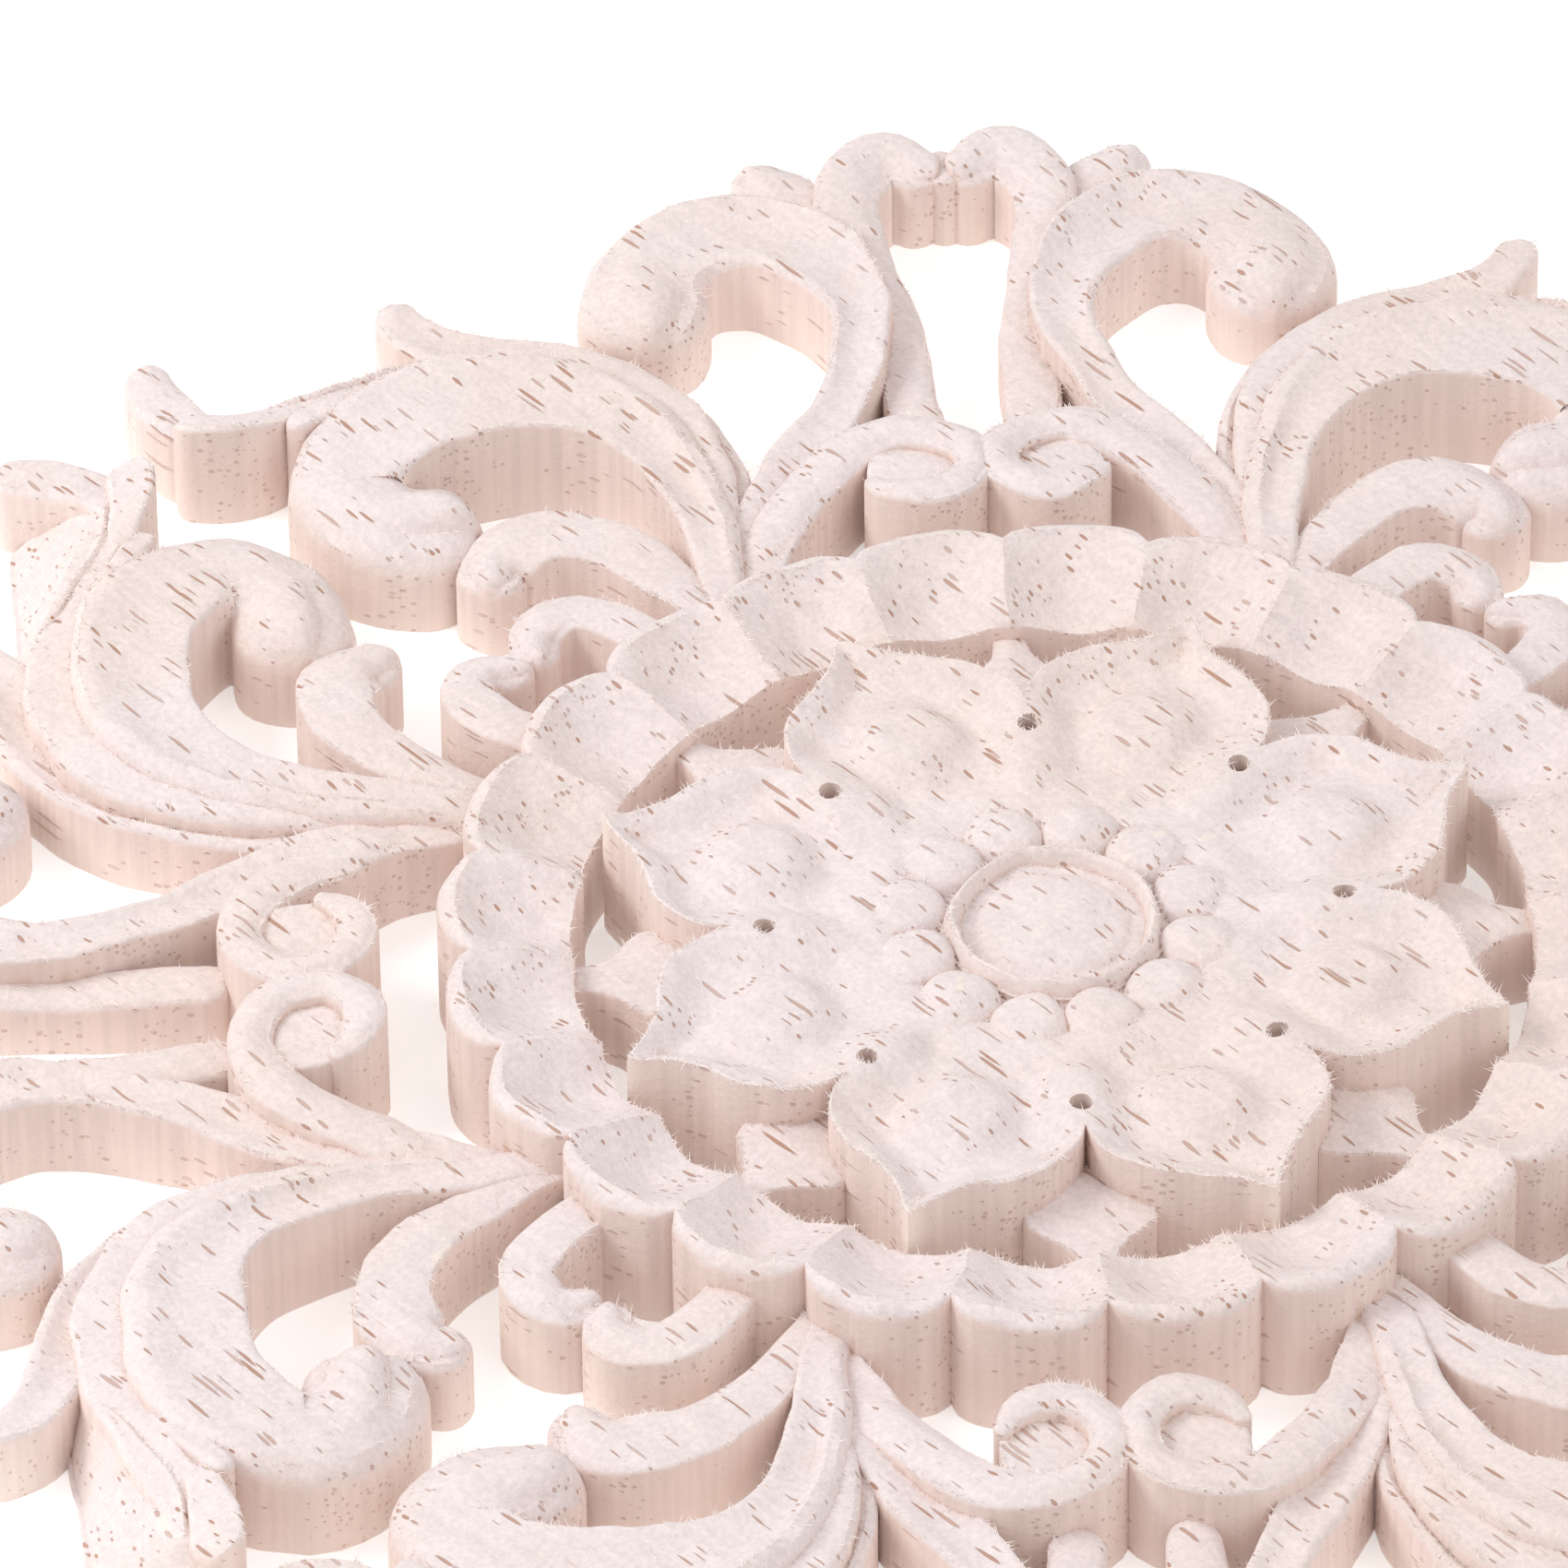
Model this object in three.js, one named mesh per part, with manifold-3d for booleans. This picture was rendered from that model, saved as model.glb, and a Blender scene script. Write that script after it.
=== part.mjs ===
// Carved wood applique: an openwork rosette cut out of one board.
// It lies on its flat back at z = 0 with the carving facing +Z and its centre on the Z axis.
import * as THREE from "three";
import { mergeVertices } from "three/addons/utils/BufferGeometryUtils.js";
import Module from "manifold-3d";

// Driving dimensions, in millimetres.
const DIAMETER = 300; // across the crown lobes on opposite sides
const THICKNESS = 18; // flat back to the highest carving
const HOLE_DIAMETER = 2.5; // drilled pits between the petals
const HOLE_DEPTH = 7;

// Where the petals' outline is drawn, as shares of a petal's sector between two notches.
const PETAL_STEPS = [0, 0.1, 0.26, 0.43, 0.5, 0.57, 0.74, 0.9];

// Counts around the rosette.
const PETALS = 8;
const SCALLOPS = 24;
const BEADS = 12;
const QUARTERS = 4;
const SKIRT = 2; // the solids reach this far under the back before it is cut flat

// The drawing's unit is the radius of the circle of drilled pits: 4.56 units reach the crown lobes.
const REACH = 4.56;
const UNIT = DIAMETER / 2 / REACH;

// Radii of the turned parts, in drawing units.
const BOSS = { disc: 0.3, groove: 0.34, rim: 0.385, foot: 0.42 };
const BEAD = { circle: 0.55, radius: 0.12 };
const PETAL = { root: 0.68, lap: 0.04, dome: 1.0, dish: 0.9, notch: 1.13, shoulder: 0.3, point: 0.25 };
const RING = { inner: 1.66, cup: 1.83, crest: 1.99, edge: 2.03, bulge: 0.1 };

// Heights over the back, as shares of the thickness.
const BOSS_TOP = 0.85;
const GROOVE_TOP = 0.76;
const BEAD_FOOT = 0.66;
const BEAD_TOP = 0.88;
const PETAL_ROOT = 0.78;
const PETAL_DOME = 1.0;
const PETAL_DISH = 0.88;
const PETAL_RIM = 0.94;
const PETAL_TIP_FALL = 0.02;
const RING_INNER = 0.71;
const RING_CUP = 0.82;
const RING_CREST = 0.91;
const RING_WALL = 0.8;
const SHELL_DIP = { inner: 0.1, cup: 0.15, crest: -0.02 }; // how far a shell's middle lies under its ridges
const BELOW = -SKIRT / THICKNESS;

// Strokes of the eighth between the axis of a crown (x = 0) and the corner (y = -x).
// Each point is x, y, half width in drawing units and height as a share of the thickness.
// A fifth value is how far the outer edge leans down from that height.
const CROWN_STRAND = [
  [-0.2, 2.95, 0.09, 0.44],
  [-0.22, 3.3, 0.1, 0.4],
  [-0.26, 3.7, 0.11, 0.42],
  [-0.35, 4.05, 0.115, 0.54],
  [-0.34, 4.32, 0.12, 0.62],
  [-0.21, 4.46, 0.13, 0.66],
  [-0.1, 4.39, 0.09, 0.64],
];
const CROWN_BUD = [
  [0, 4.36, 0.055, 0.56],
  [0, 4.44, 0.055, 0.56],
];
const SIDE_BUD = [
  [-0.42, 4.05, 0.1, 0.44],
  [-0.55, 4.28, 0.135, 0.5],
  [-0.65, 4.41, 0.125, 0.51],
];
const HOOK = [
  [-0.91, 2.12, 0.1, 0.56],
  [-0.81, 2.42, 0.13, 0.55],
  [-0.66, 2.76, 0.12, 0.55],
  [-0.49, 3.05, 0.095, 0.56],
  [-0.38, 3.35, 0.1, 0.58],
  [-0.36, 3.65, 0.125, 0.6],
  [-0.5, 3.95, 0.165, 0.61],
  [-0.76, 4.09, 0.185, 0.61],
  [-1.01, 4.01, 0.21, 0.6],
  [-1.13, 3.76, 0.235, 0.58],
];
const VOLUTE = [
  [-0.72, 2.4, 0.08, 0.62],
  [-0.62, 2.58, 0.1, 0.64],
  [-0.47, 2.77, 0.1, 0.66],
  [-0.26, 2.84, 0.095, 0.68],
  [-0.08, 2.71, 0.1, 0.7],
  [-0.11, 2.54, 0.09, 0.7],
  [-0.3, 2.51, 0.08, 0.62],
  [-0.28, 2.6, 0.09, 0.42],
];
// The filled middle of the volute, lower than its rim.
const EYE = [
  [-0.24, 2.57, 0.145, 0.62],
  [-0.25, 2.74, 0.12, 0.6],
];
const LEAF_LIP = [
  [-0.98, 2.95, 0.07, 0.5, 0.04],
  [-1.18, 3.28, 0.08, 0.52, 0.08],
  [-1.45, 3.46, 0.11, 0.54, 0.14],
  [-1.72, 3.5, 0.12, 0.54, 0.12],
  [-1.92, 3.6, 0.105, 0.52],
  [-2.03, 3.74, 0.085, 0.51],
];
const LEAF_FOLD = [
  [-1.08, 2.95, 0.08, 0.62],
  [-1.3, 3.2, 0.11, 0.66],
  [-1.75, 3.36, 0.12, 0.66],
  [-2.1, 3.29, 0.1, 0.63],
  [-2.4, 3.18, 0.09, 0.6],
  [-2.66, 3.09, 0.085, 0.58],
  [-2.82, 3.16, 0.09, 0.56],
  [-2.95, 3.45, 0.09, 0.55],
];
const LEAF_BODY = [
  [-0.88, 1.8, 0.1, 0.56],
  [-0.96, 2.1, 0.1, 0.62],
  [-1.0, 2.38, 0.1, 0.66],
  [-1.09, 2.68, 0.13, 0.7],
  [-1.27, 2.95, 0.17, 0.74],
  [-1.55, 3.09, 0.2, 0.77],
  [-1.86, 3.09, 0.215, 0.77],
  [-2.13, 2.96, 0.22, 0.77],
  [-2.27, 2.72, 0.205, 0.77],
  [-2.17, 2.56, 0.21, 0.75],
  [-2.02, 2.51, 0.215, 0.72],
];
// The slope from the crest of the fold down to its foot, in the bay before the corner.
const CORNER_SLOPE = [
  [-1.88, 3.47, 0.05, 0.5, 0.4],
  [-2.26, 3.385, 0.1, 0.59, 0.54],
  [-2.58, 3.315, 0.18, 0.61, 0.55],
  [-2.86, 3.33, 0.165, 0.5, 0.44],
];
const CORNER_BUD = [
  [-2.3, 3.12, 0.04, 0.6],
  [-2.5, 3.06, 0.06, 0.76],
  [-2.66, 3.03, 0.075, 0.79],
  [-2.79, 3.04, 0.08, 0.785],
];
const STRAND = [
  [-1.0, 1.82, 0.08, 0.58],
  [-1.12, 2.07, 0.09, 0.58],
  [-1.28, 2.26, 0.115, 0.6],
  [-1.47, 2.38, 0.13, 0.62],
  [-1.66, 2.38, 0.145, 0.6],
  [-1.79, 2.28, 0.13, 0.56],
];
const CURL = [
  [-1.2, 1.64, 0.08, 0.68],
  [-1.34, 1.84, 0.095, 0.68],
  [-1.52, 1.94, 0.1, 0.66],
  [-1.65, 1.88, 0.1, 0.64],
  [-1.67, 1.77, 0.09, 0.62],
];
// A three-pointed sepal between two petals, along the axis of its ring ridge.
const SEPAL = [
  [0, 1.08, 0.03, 0.58],
  [0, 1.24, 0.15, 0.62],
  [0, 1.39, 0.23, 0.6],
  [0, 1.48, 0.15, 0.6],
  [0, 1.58, 0.07, 0.6],
  [0, 1.7, 0.05, 0.6],
];

// Which strokes have a flat top, which of their ends are rounded, and how many steps each is drawn with.
const STROKES = [
  { points: CROWN_STRAND, steps: 5, flat: true, roundStart: true, roundEnd: true },
  { points: SIDE_BUD, steps: 2, flat: true, roundEnd: true },
  { points: HOOK, steps: 8, roundEnd: true },
  { points: VOLUTE, steps: 7 },
  { points: EYE, steps: 1, flat: true, roundStart: true, roundEnd: true },
  { points: LEAF_LIP, steps: 3, flat: true, roundEnd: true },
  { points: LEAF_FOLD, steps: 6, flat: true, roundEnd: true },
  { points: LEAF_BODY, steps: 9, roundEnd: true },
  { points: CORNER_SLOPE, steps: 3, flat: true },
  { points: CORNER_BUD, steps: 1, flat: true, roundEnd: true },
  { points: STRAND, steps: 5, flat: true, roundEnd: true },
  { points: CURL, steps: 4, flat: true, roundEnd: true },
];
const POINTED = 1e-3; // narrower than this half width, a stroke's end is a single upright edge
const NOSE_DROP = 0.04; // how far a round end falls to its tip, as a share of the thickness
const DISH = 0.05; // how far the middle of a hollowed stroke lies under its rims

const wasm = await Module();
wasm.setup();

// A closed geometry as a solid that can be joined and cut.
function solidOf(geometry) {
  geometry.deleteAttribute("normal");
  geometry.deleteAttribute("uv");
  const merged = mergeVertices(geometry, 1e-4);
  return new wasm.Manifold(
    new wasm.Mesh({
      numProp: 3,
      vertProperties: merged.attributes.position.array,
      triVerts: new Uint32Array(merged.index.array),
    }),
  );
}

// A solid from rows of vertices and triangle indices.
function solidFrom(vertices, triangles) {
  const geometry = new THREE.BufferGeometry();
  geometry.setAttribute("position", new THREE.Float32BufferAttribute(vertices, 3));
  geometry.setIndex(triangles);
  return solidOf(geometry);
}

// The stroke's centre points, half widths and heights along a smooth curve through its points.
function stationsOf(stroke) {
  const plan = new THREE.CatmullRomCurve3(
    stroke.points.map(([x, y]) => new THREE.Vector3(x, y, 0)),
    false,
    "centripetal",
  );
  const trim = new THREE.CatmullRomCurve3(
    stroke.points.map(([, , halfWidth, height, lean = 0]) => new THREE.Vector3(halfWidth, height, lean)),
    false,
    "catmullrom",
    0.3,
  );
  const stations = [];
  for (let i = 0; i <= stroke.steps; i++) {
    const t = i / stroke.steps;
    const at = plan.getPoint(t);
    const along = plan.getTangent(t);
    const { x, y: height, z: lean } = trim.getPoint(t);
    const halfWidth = Math.max(x, 0);
    stations.push({ x: at.x, y: at.y, dx: along.x, dy: along.y, halfWidth, height, lean });
  }
  if (stroke.roundEnd) stations.push(...nose(stations.at(-1), 1));
  if (stroke.roundStart) stations.unshift(...nose(stations[0], -1).reverse());
  return stations;
}

// A round nose past an end: two more stations on a half circle as wide as the stroke.
function nose(end, side) {
  return [0.7, 1].map((share) => {
    const reach = side * share * end.halfWidth;
    const halfWidth = end.halfWidth * Math.sqrt(1 - share * share);
    const height = end.height - NOSE_DROP * share;
    return { ...end, x: end.x + end.dx * reach, y: end.y + end.dy * reach, halfWidth, height };
  });
}

// The stroke as a solid: a hollowed or flat top, upright walls and a flat back.
function strokeSolid(stroke, place) {
  const vertices = [];
  const triangles = [];
  const rows = stationsOf(stroke).map((s) => {
    const heightAt = (side) => s.height - (side === 0 ? DISH : 0) - (side < 0 ? s.lean : 0);
    const across = stroke.flat ? [1, -1] : [1, 0, -1];
    const sides = s.halfWidth < POINTED ? [0] : across;
    const row = { top: [], back: [] };
    for (const side of sides) {
      const [x, y] = place(s.x - s.dy * side * s.halfWidth, s.y + s.dx * side * s.halfWidth);
      row.top.push(vertices.length / 3);
      vertices.push(x * UNIT, y * UNIT, heightAt(sides.length === 1 ? 1 : side) * THICKNESS);
      if (side !== 0 || sides.length === 1) {
        row.back.push(vertices.length / 3);
        vertices.push(x * UNIT, y * UNIT, -SKIRT);
      }
    }
    return row;
  });
  const ringOf = (row) => [...row.top, ...row.back.toReversed()];
  for (let i = 1; i < rows.length; i++) joinRings(ringOf(rows[i - 1]), ringOf(rows[i]), triangles);
  closeRing(ringOf(rows[0]), triangles, true);
  closeRing(ringOf(rows.at(-1)), triangles, false);
  return solidFrom(vertices, place.mirrored ? triangles : flipped(triangles));
}

// Triangles between two rings of vertices, one of which may be a single upright edge.
function joinRings(a, b, triangles) {
  const n = Math.max(a.length, b.length);
  const crown = Array(n - 2).fill(0);
  const spread = (ring) => (ring.length === n ? ring : [...crown.map(() => ring[0]), ring[1], ring[1]]);
  const [p, q] = [spread(a), spread(b)];
  for (let i = 0; i < n; i++) {
    const j = (i + 1) % n;
    if (p[i] !== p[j]) triangles.push(p[i], q[i], p[j]);
    if (q[i] !== q[j]) triangles.push(p[j], q[i], q[j]);
  }
}

// A fan of triangles over the end of a stroke. A single upright edge needs none.
function closeRing(ring, triangles, start) {
  for (let i = 1; i < ring.length - 1; i++) {
    if (start) triangles.push(ring[0], ring[i], ring[i + 1]);
    else triangles.push(ring[0], ring[i + 1], ring[i]);
  }
}

function flipped(triangles) {
  const turned = [...triangles];
  for (let i = 0; i < turned.length; i += 3) [turned[i + 1], turned[i + 2]] = [turned[i + 2], turned[i + 1]];
  return turned;
}

// Placements of the drawn eighth: turned by quarters, each also mirrored over the crown's axis.
function placements() {
  const all = [];
  for (let quarter = 0; quarter < QUARTERS; quarter++) {
    const angle = (quarter * 2 * Math.PI) / QUARTERS;
    for (const mirror of [1, -1]) all.push(placement(angle, mirror));
  }
  return all;
}

function placement(angle, mirror) {
  const [c, s] = [Math.cos(angle), Math.sin(angle)];
  const place = (x, y) => [c * mirror * x - s * y, s * mirror * x + c * y];
  place.mirrored = mirror < 0;
  return place;
}

// A solid of revolution-like form on a polar grid: radii and heights change around the axis.
// With a radius of zero on the first ring the middle closes in one vertex.
function polarSolid(angles, ringsAt) {
  const vertices = [];
  const triangles = [];
  const steps = angles.length;
  const count = ringsAt(0).length;
  for (const angle of angles) {
    for (const [radius, height] of ringsAt(angle)) {
      vertices.push(Math.cos(angle) * radius * UNIT, Math.sin(angle) * radius * UNIT, height * THICKNESS);
    }
  }
  for (let i = 0; i < steps; i++) {
    const next = ((i + 1) % steps) * count;
    const here = i * count;
    for (let k = 0; k < count; k++) {
      const m = (k + 1) % count;
      const quad = [here + k, here + m, next + m, next + k];
      const same = (a, b) => [0, 1, 2].every((d) => Math.abs(vertices[3 * a + d] - vertices[3 * b + d]) < 1e-6);
      if (!same(quad[1], quad[2])) triangles.push(quad[0], quad[1], quad[2]);
      if (!same(quad[0], quad[3])) triangles.push(quad[0], quad[2], quad[3]);
    }
  }
  return solidFrom(vertices, triangles);
}

// Angle from the nearest of count evenly spaced axes, the first of them at offset.
function fromAxis(angle, count, offset) {
  const pitch = (2 * Math.PI) / count;
  return angle - offset - pitch * Math.round((angle - offset) / pitch);
}

// The petal's outline: sloping shoulders between notches, and a short point on its axis.
function petalEdge(off) {
  const shoulder = PETAL.shoulder * Math.max(1 - off ** 3, 0) ** 0.7;
  return PETAL.notch + shoulder + PETAL.point * Math.exp(-off * 6);
}

// The middle of the flower from its axis outwards: boss, groove, rim and beads.
function bossRings(angle) {
  const off = (Math.abs(fromAxis(angle, BEADS, Math.PI / BEADS)) * BEAD.circle) / BEAD.radius;
  const bead = BEAD_FOOT + (BEAD_TOP - BEAD_FOOT) * Math.sqrt(Math.max(1 - off * off, 0));
  return [
    [0, BOSS_TOP],
    [BOSS.disc, GROOVE_TOP],
    [BOSS.groove, BOSS_TOP],
    [BOSS.rim, BOSS_TOP],
    [BOSS.foot, BEAD_FOOT],
    [BEAD.circle, bead],
    [PETAL.root, PETAL_ROOT],
    [PETAL.root, BELOW],
    [0, BELOW],
  ];
}

// The petals from their roots outwards: a dome, a hollow round it and a raised rim that falls to the tip.
function petalRings(angle) {
  const half = Math.PI / PETALS;
  const off = Math.abs(fromAxis(angle, PETALS, half)) / half;
  const edge = petalEdge(off);
  return [
    [PETAL.root - PETAL.lap, PETAL_ROOT - PETAL.lap],
    [PETAL.dome, PETAL_DOME - (PETAL_DOME - PETAL_RIM) * off],
    [edge * PETAL.dish, PETAL_DISH + (PETAL_RIM - PETAL_DISH) * off],
    [edge, PETAL_RIM - PETAL_TIP_FALL * (1 - off) ** 2],
    [edge, BELOW],
    [PETAL.root - PETAL.lap, BELOW],
  ];
}

// The scalloped ring: cupped shells with ridges between, a rolled crest and a scalloped outer wall.
function ringRings(angle) {
  const half = Math.PI / SCALLOPS;
  const off = fromAxis(angle, SCALLOPS, half) / half;
  const bulge = RING.bulge * Math.sqrt(Math.max(1 - off * off, 0));
  const cup = 1 - off * off;
  return [
    [RING.inner, RING_INNER - SHELL_DIP.inner * cup],
    [RING.cup, RING_CUP - SHELL_DIP.cup * cup],
    [RING.crest + bulge, RING_CREST - SHELL_DIP.crest * cup],
    [RING.edge + bulge, RING_WALL],
    [RING.edge + bulge, BELOW],
    [RING.inner, BELOW],
  ];
}

// A drilled pit between two petals.
function pit(angle) {
  const sides = 5;
  const cutter = new THREE.CylinderGeometry(HOLE_DIAMETER / 2, HOLE_DIAMETER / 2, 2 * HOLE_DEPTH, sides);
  cutter.rotateX(Math.PI / 2);
  cutter.translate(UNIT * Math.cos(angle), UNIT * Math.sin(angle), PETAL_DOME * THICKNESS);
  return solidOf(cutter);
}

// Angles for the given shares of each of count equal sectors.
function anglesOf(count, shares) {
  const pitch = (2 * Math.PI) / count;
  const sectors = Array.from({ length: count }, (_, i) => i);
  return sectors.flatMap((i) => shares.map((share) => (i + share) * pitch));
}

// A slab that cuts the back flat.
function slabUnder() {
  const slab = new THREE.BoxGeometry(2 * DIAMETER, 2 * DIAMETER, 2 * SKIRT);
  slab.translate(0, 0, -SKIRT);
  return solidOf(slab);
}

// The whole carving joined into one solid.
function carving() {
  let solid = polarSolid(anglesOf(SCALLOPS, [0, 1 / 3, 2 / 3]), ringRings);
  solid = solid.add(polarSolid(anglesOf(BEADS, [0, 1 / 3, 2 / 3]), bossRings));
  solid = solid.add(polarSolid(anglesOf(PETALS, PETAL_STEPS), petalRings));
  for (const place of placements()) {
    for (const stroke of STROKES) solid = solid.add(strokeSolid(stroke, place));
  }
  for (let quarter = 0; quarter < QUARTERS; quarter++) {
    const bud = { points: CROWN_BUD, steps: 1, roundStart: true, roundEnd: true };
    solid = solid.add(strokeSolid(bud, placement((quarter * 2 * Math.PI) / QUARTERS, 1)));
  }
  for (let i = 0; i < PETALS; i++) {
    const angle = (i * 2 * Math.PI) / PETALS;
    solid = solid.add(strokeSolid({ points: SEPAL, steps: 3 }, placement(angle, 1)));
    solid = solid.subtract(pit(angle + Math.PI / 2));
  }
  return solid.subtract(slabUnder());
}

const mesh = carving().getMesh();
const geometry = new THREE.BufferGeometry();
geometry.setAttribute("position", new THREE.BufferAttribute(mesh.vertProperties, 3));
geometry.setIndex(new THREE.BufferAttribute(mesh.triVerts, 1));
geometry.computeVertexNormals();
const wood = new THREE.MeshStandardMaterial({ color: 0xecdcd0, roughness: 0.8, metalness: 0 });
const rosette = new THREE.Mesh(geometry, wood);
rosette.name = "carved_rosette";

const applique = new THREE.Group();
applique.add(rosette);
export default applique;
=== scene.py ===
"""A raw wood applique: an openwork rosette carved from one board, lying on its flat back.

The carving repeats eight times round its middle. One eighth is drawn here, between the axis of
a crown (x = 0) and the corner (y = -x), and is turned by quarters and mirrored. All outlines are
drawn in units of the circle of drilled pits, and the board's size gives that unit in metres.
"""

import logging
import math
from dataclasses import asdict, dataclass, field
from enum import Enum

import bpy
import numpy as np
from mathutils import Matrix, Vector


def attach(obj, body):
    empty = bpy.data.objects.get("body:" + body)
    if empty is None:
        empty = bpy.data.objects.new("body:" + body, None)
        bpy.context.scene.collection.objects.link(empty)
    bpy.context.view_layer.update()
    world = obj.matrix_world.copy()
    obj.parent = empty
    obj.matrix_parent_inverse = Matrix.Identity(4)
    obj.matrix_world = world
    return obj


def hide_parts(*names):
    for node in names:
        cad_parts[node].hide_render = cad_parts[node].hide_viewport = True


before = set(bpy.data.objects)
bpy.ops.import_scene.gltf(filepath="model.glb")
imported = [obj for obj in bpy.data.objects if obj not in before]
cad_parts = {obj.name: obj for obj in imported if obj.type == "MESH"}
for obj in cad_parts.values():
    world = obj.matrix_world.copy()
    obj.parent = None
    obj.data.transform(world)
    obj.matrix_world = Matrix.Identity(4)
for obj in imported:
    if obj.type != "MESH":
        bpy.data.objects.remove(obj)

LOG = logging.getLogger("rosette")

# The board in metres, as in the solid model.
DIAMETER = 0.300
THICKNESS = 0.018

# In drawing units: half the board's width, how far the pieces reach under the back before it is
# cut flat, and the least half width of a strand.
REACH = 4.56
SKIRT = 0.05
THINNEST = 0.004

# One drawing unit in metres.
UNIT = DIAMETER / 2 / REACH

# Direction of the grain in the plane of the board, in radians from +X.
GRAIN = math.radians(-52)

# Edges sharper than this stay crisp.
SHARP_FROM = math.radians(32)

# Columns of a strand's rows, after x and y.
HALF, HEIGHT, CROWN = 2, 3, 5
HEADING, ROUNDS = slice(6, 8), slice(8, 10)

Array = np.ndarray
Colour = tuple[float, float, float]
Range = tuple[float, ...]
# What a shader socket may be fed: another socket, a number or a colour.
Value = bpy.types.NodeSocket | float | Colour


class End(Enum):
    """How a strand ends."""

    ROUND = "round"
    OPEN = "open"


@dataclass
class Shell:
    """A closed mesh as arrays: vertices, four-sided faces, and caps with any number of corners."""

    vertices: Array
    quads: Array
    caps: list[Array] = field(default_factory=list)

    def placed(self, angle: float, mirror: bool) -> "Shell":
        """Mirrors the mesh over x = 0 if asked, then turns it about the Z axis.

        Args:
            angle: The turn in radians.
            mirror: Whether x changes sign first, which also turns the faces over.

        Returns:
            The placed mesh.
        """
        c, s = math.cos(angle), math.sin(angle)
        turn = np.array([[c, -s, 0.0], [s, c, 0.0], [0.0, 0.0, 1.0]])
        flip = np.array([-1.0 if mirror else 1.0, 1.0, 1.0])
        step = -1 if mirror else 1
        return Shell(
            (self.vertices * flip) @ turn.T,
            self.quads[:, ::step],
            [cap[::step] for cap in self.caps],
        )

    @staticmethod
    def joined(shells: list["Shell"]) -> "Shell":
        """Puts several meshes that don't touch into one.

        Args:
            shells: The meshes.

        Returns:
            One mesh that holds them all.
        """
        starts = np.cumsum([0] + [len(s.vertices) for s in shells[:-1]])
        return Shell(
            np.concatenate([s.vertices for s in shells]),
            np.concatenate([s.quads + start for s, start in zip(shells, starts)]),
            [cap + start for s, start in zip(shells, starts) for cap in s.caps],
        )

    def to_object(self, name: str) -> bpy.types.Object:
        """Makes a Blender object at the origin, scaled from drawing units to metres.

        Args:
            name: The name of the object and its mesh.

        Returns:
            The object, linked to the scene.
        """
        mesh = bpy.data.meshes.new(name)
        faces = self.quads.tolist() + [cap.tolist() for cap in self.caps]
        mesh.from_pydata((self.vertices * UNIT).tolist(), [], faces)
        obj = bpy.data.objects.new(name, mesh)
        bpy.context.scene.collection.objects.link(obj)
        return obj


def spline(points: Array, stations: Array) -> Array:
    """A smooth curve through control points.

    Each stretch is a cubic from point to point whose end slopes are the mean of the slopes of
    the stretches beside it, weighted by their lengths. All columns follow the same parameter,
    the square root of the distance in plan.

    Args:
        points: One row per control point. The first two columns are x and y.
        stations: Where to read the curve, from 0 to 1.

    Returns:
        One row per station.
    """
    chord = np.sqrt(np.linalg.norm(np.diff(points[:, :2], axis=0), axis=1))
    knots = np.concatenate([[0.0], np.cumsum(chord)])
    slopes = np.diff(points, axis=0) / chord[:, None]
    before, after = chord[:-1, None], chord[1:, None]
    tangents = np.empty_like(points)
    tangents[1:-1] = (slopes[:-1] * after + slopes[1:] * before) / (before + after)
    tangents[0] = 2 * slopes[0] - tangents[1] if len(points) > 2 else slopes[0]
    tangents[-1] = 2 * slopes[-1] - tangents[-2] if len(points) > 2 else slopes[-1]
    at = stations * knots[-1]
    i = np.clip(np.searchsorted(knots, at, side="right") - 1, 0, len(chord) - 1)
    t = ((at - knots[i]) / chord[i])[:, None]
    h = chord[i][:, None]
    return (
        (2 * t**3 - 3 * t**2 + 1) * points[i]
        + (t**3 - 2 * t**2 + t) * h * tangents[i]
        + (3 * t**2 - 2 * t**3) * points[i + 1]
        + (t**3 - t**2) * h * tangents[i + 1]
    )


def unit(vectors: Array) -> Array:
    """Vectors shortened or lengthened to 1."""
    return vectors / np.linalg.norm(vectors, axis=1, keepdims=True)


def read(items: bpy.types.bpy_prop_collection, name: str, width: int, kind: type = float) -> Array:
    """Reads one value of every vertex or edge of a mesh.

    Args:
        items: The mesh's vertices or edges.
        name: The name of the value.
        width: How many numbers it has.
        kind: Their type.

    Returns:
        One row per item.
    """
    values = np.empty(len(items) * width, kind)
    items.foreach_get(name, values)
    return values.reshape(-1, width)


def smooth(share: Array) -> Array:
    """Rises from 0 to 1 with no slope at either end."""
    t = np.clip(share, 0, 1)
    return t * t * (3 - 2 * t)


def loft(rings: Array) -> Shell:
    """Closes a row of closed rings into a skin with a cap at each end.

    Args:
        rings: Points as stations, points round each ring, and x, y, z. Each ring runs
            anticlockwise as seen from the strand's far end.

    Returns:
        The closed mesh.
    """
    n, m = rings.shape[:2]
    index = np.arange(n * m).reshape(n, m)
    after = np.roll(index, -1, axis=1)
    quads = np.stack([index[:-1], after[:-1], after[1:], index[1:]], axis=-1).reshape(-1, 4)
    return Shell(rings.reshape(-1, 3), quads, [index[0][::-1], index[-1]])


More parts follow.
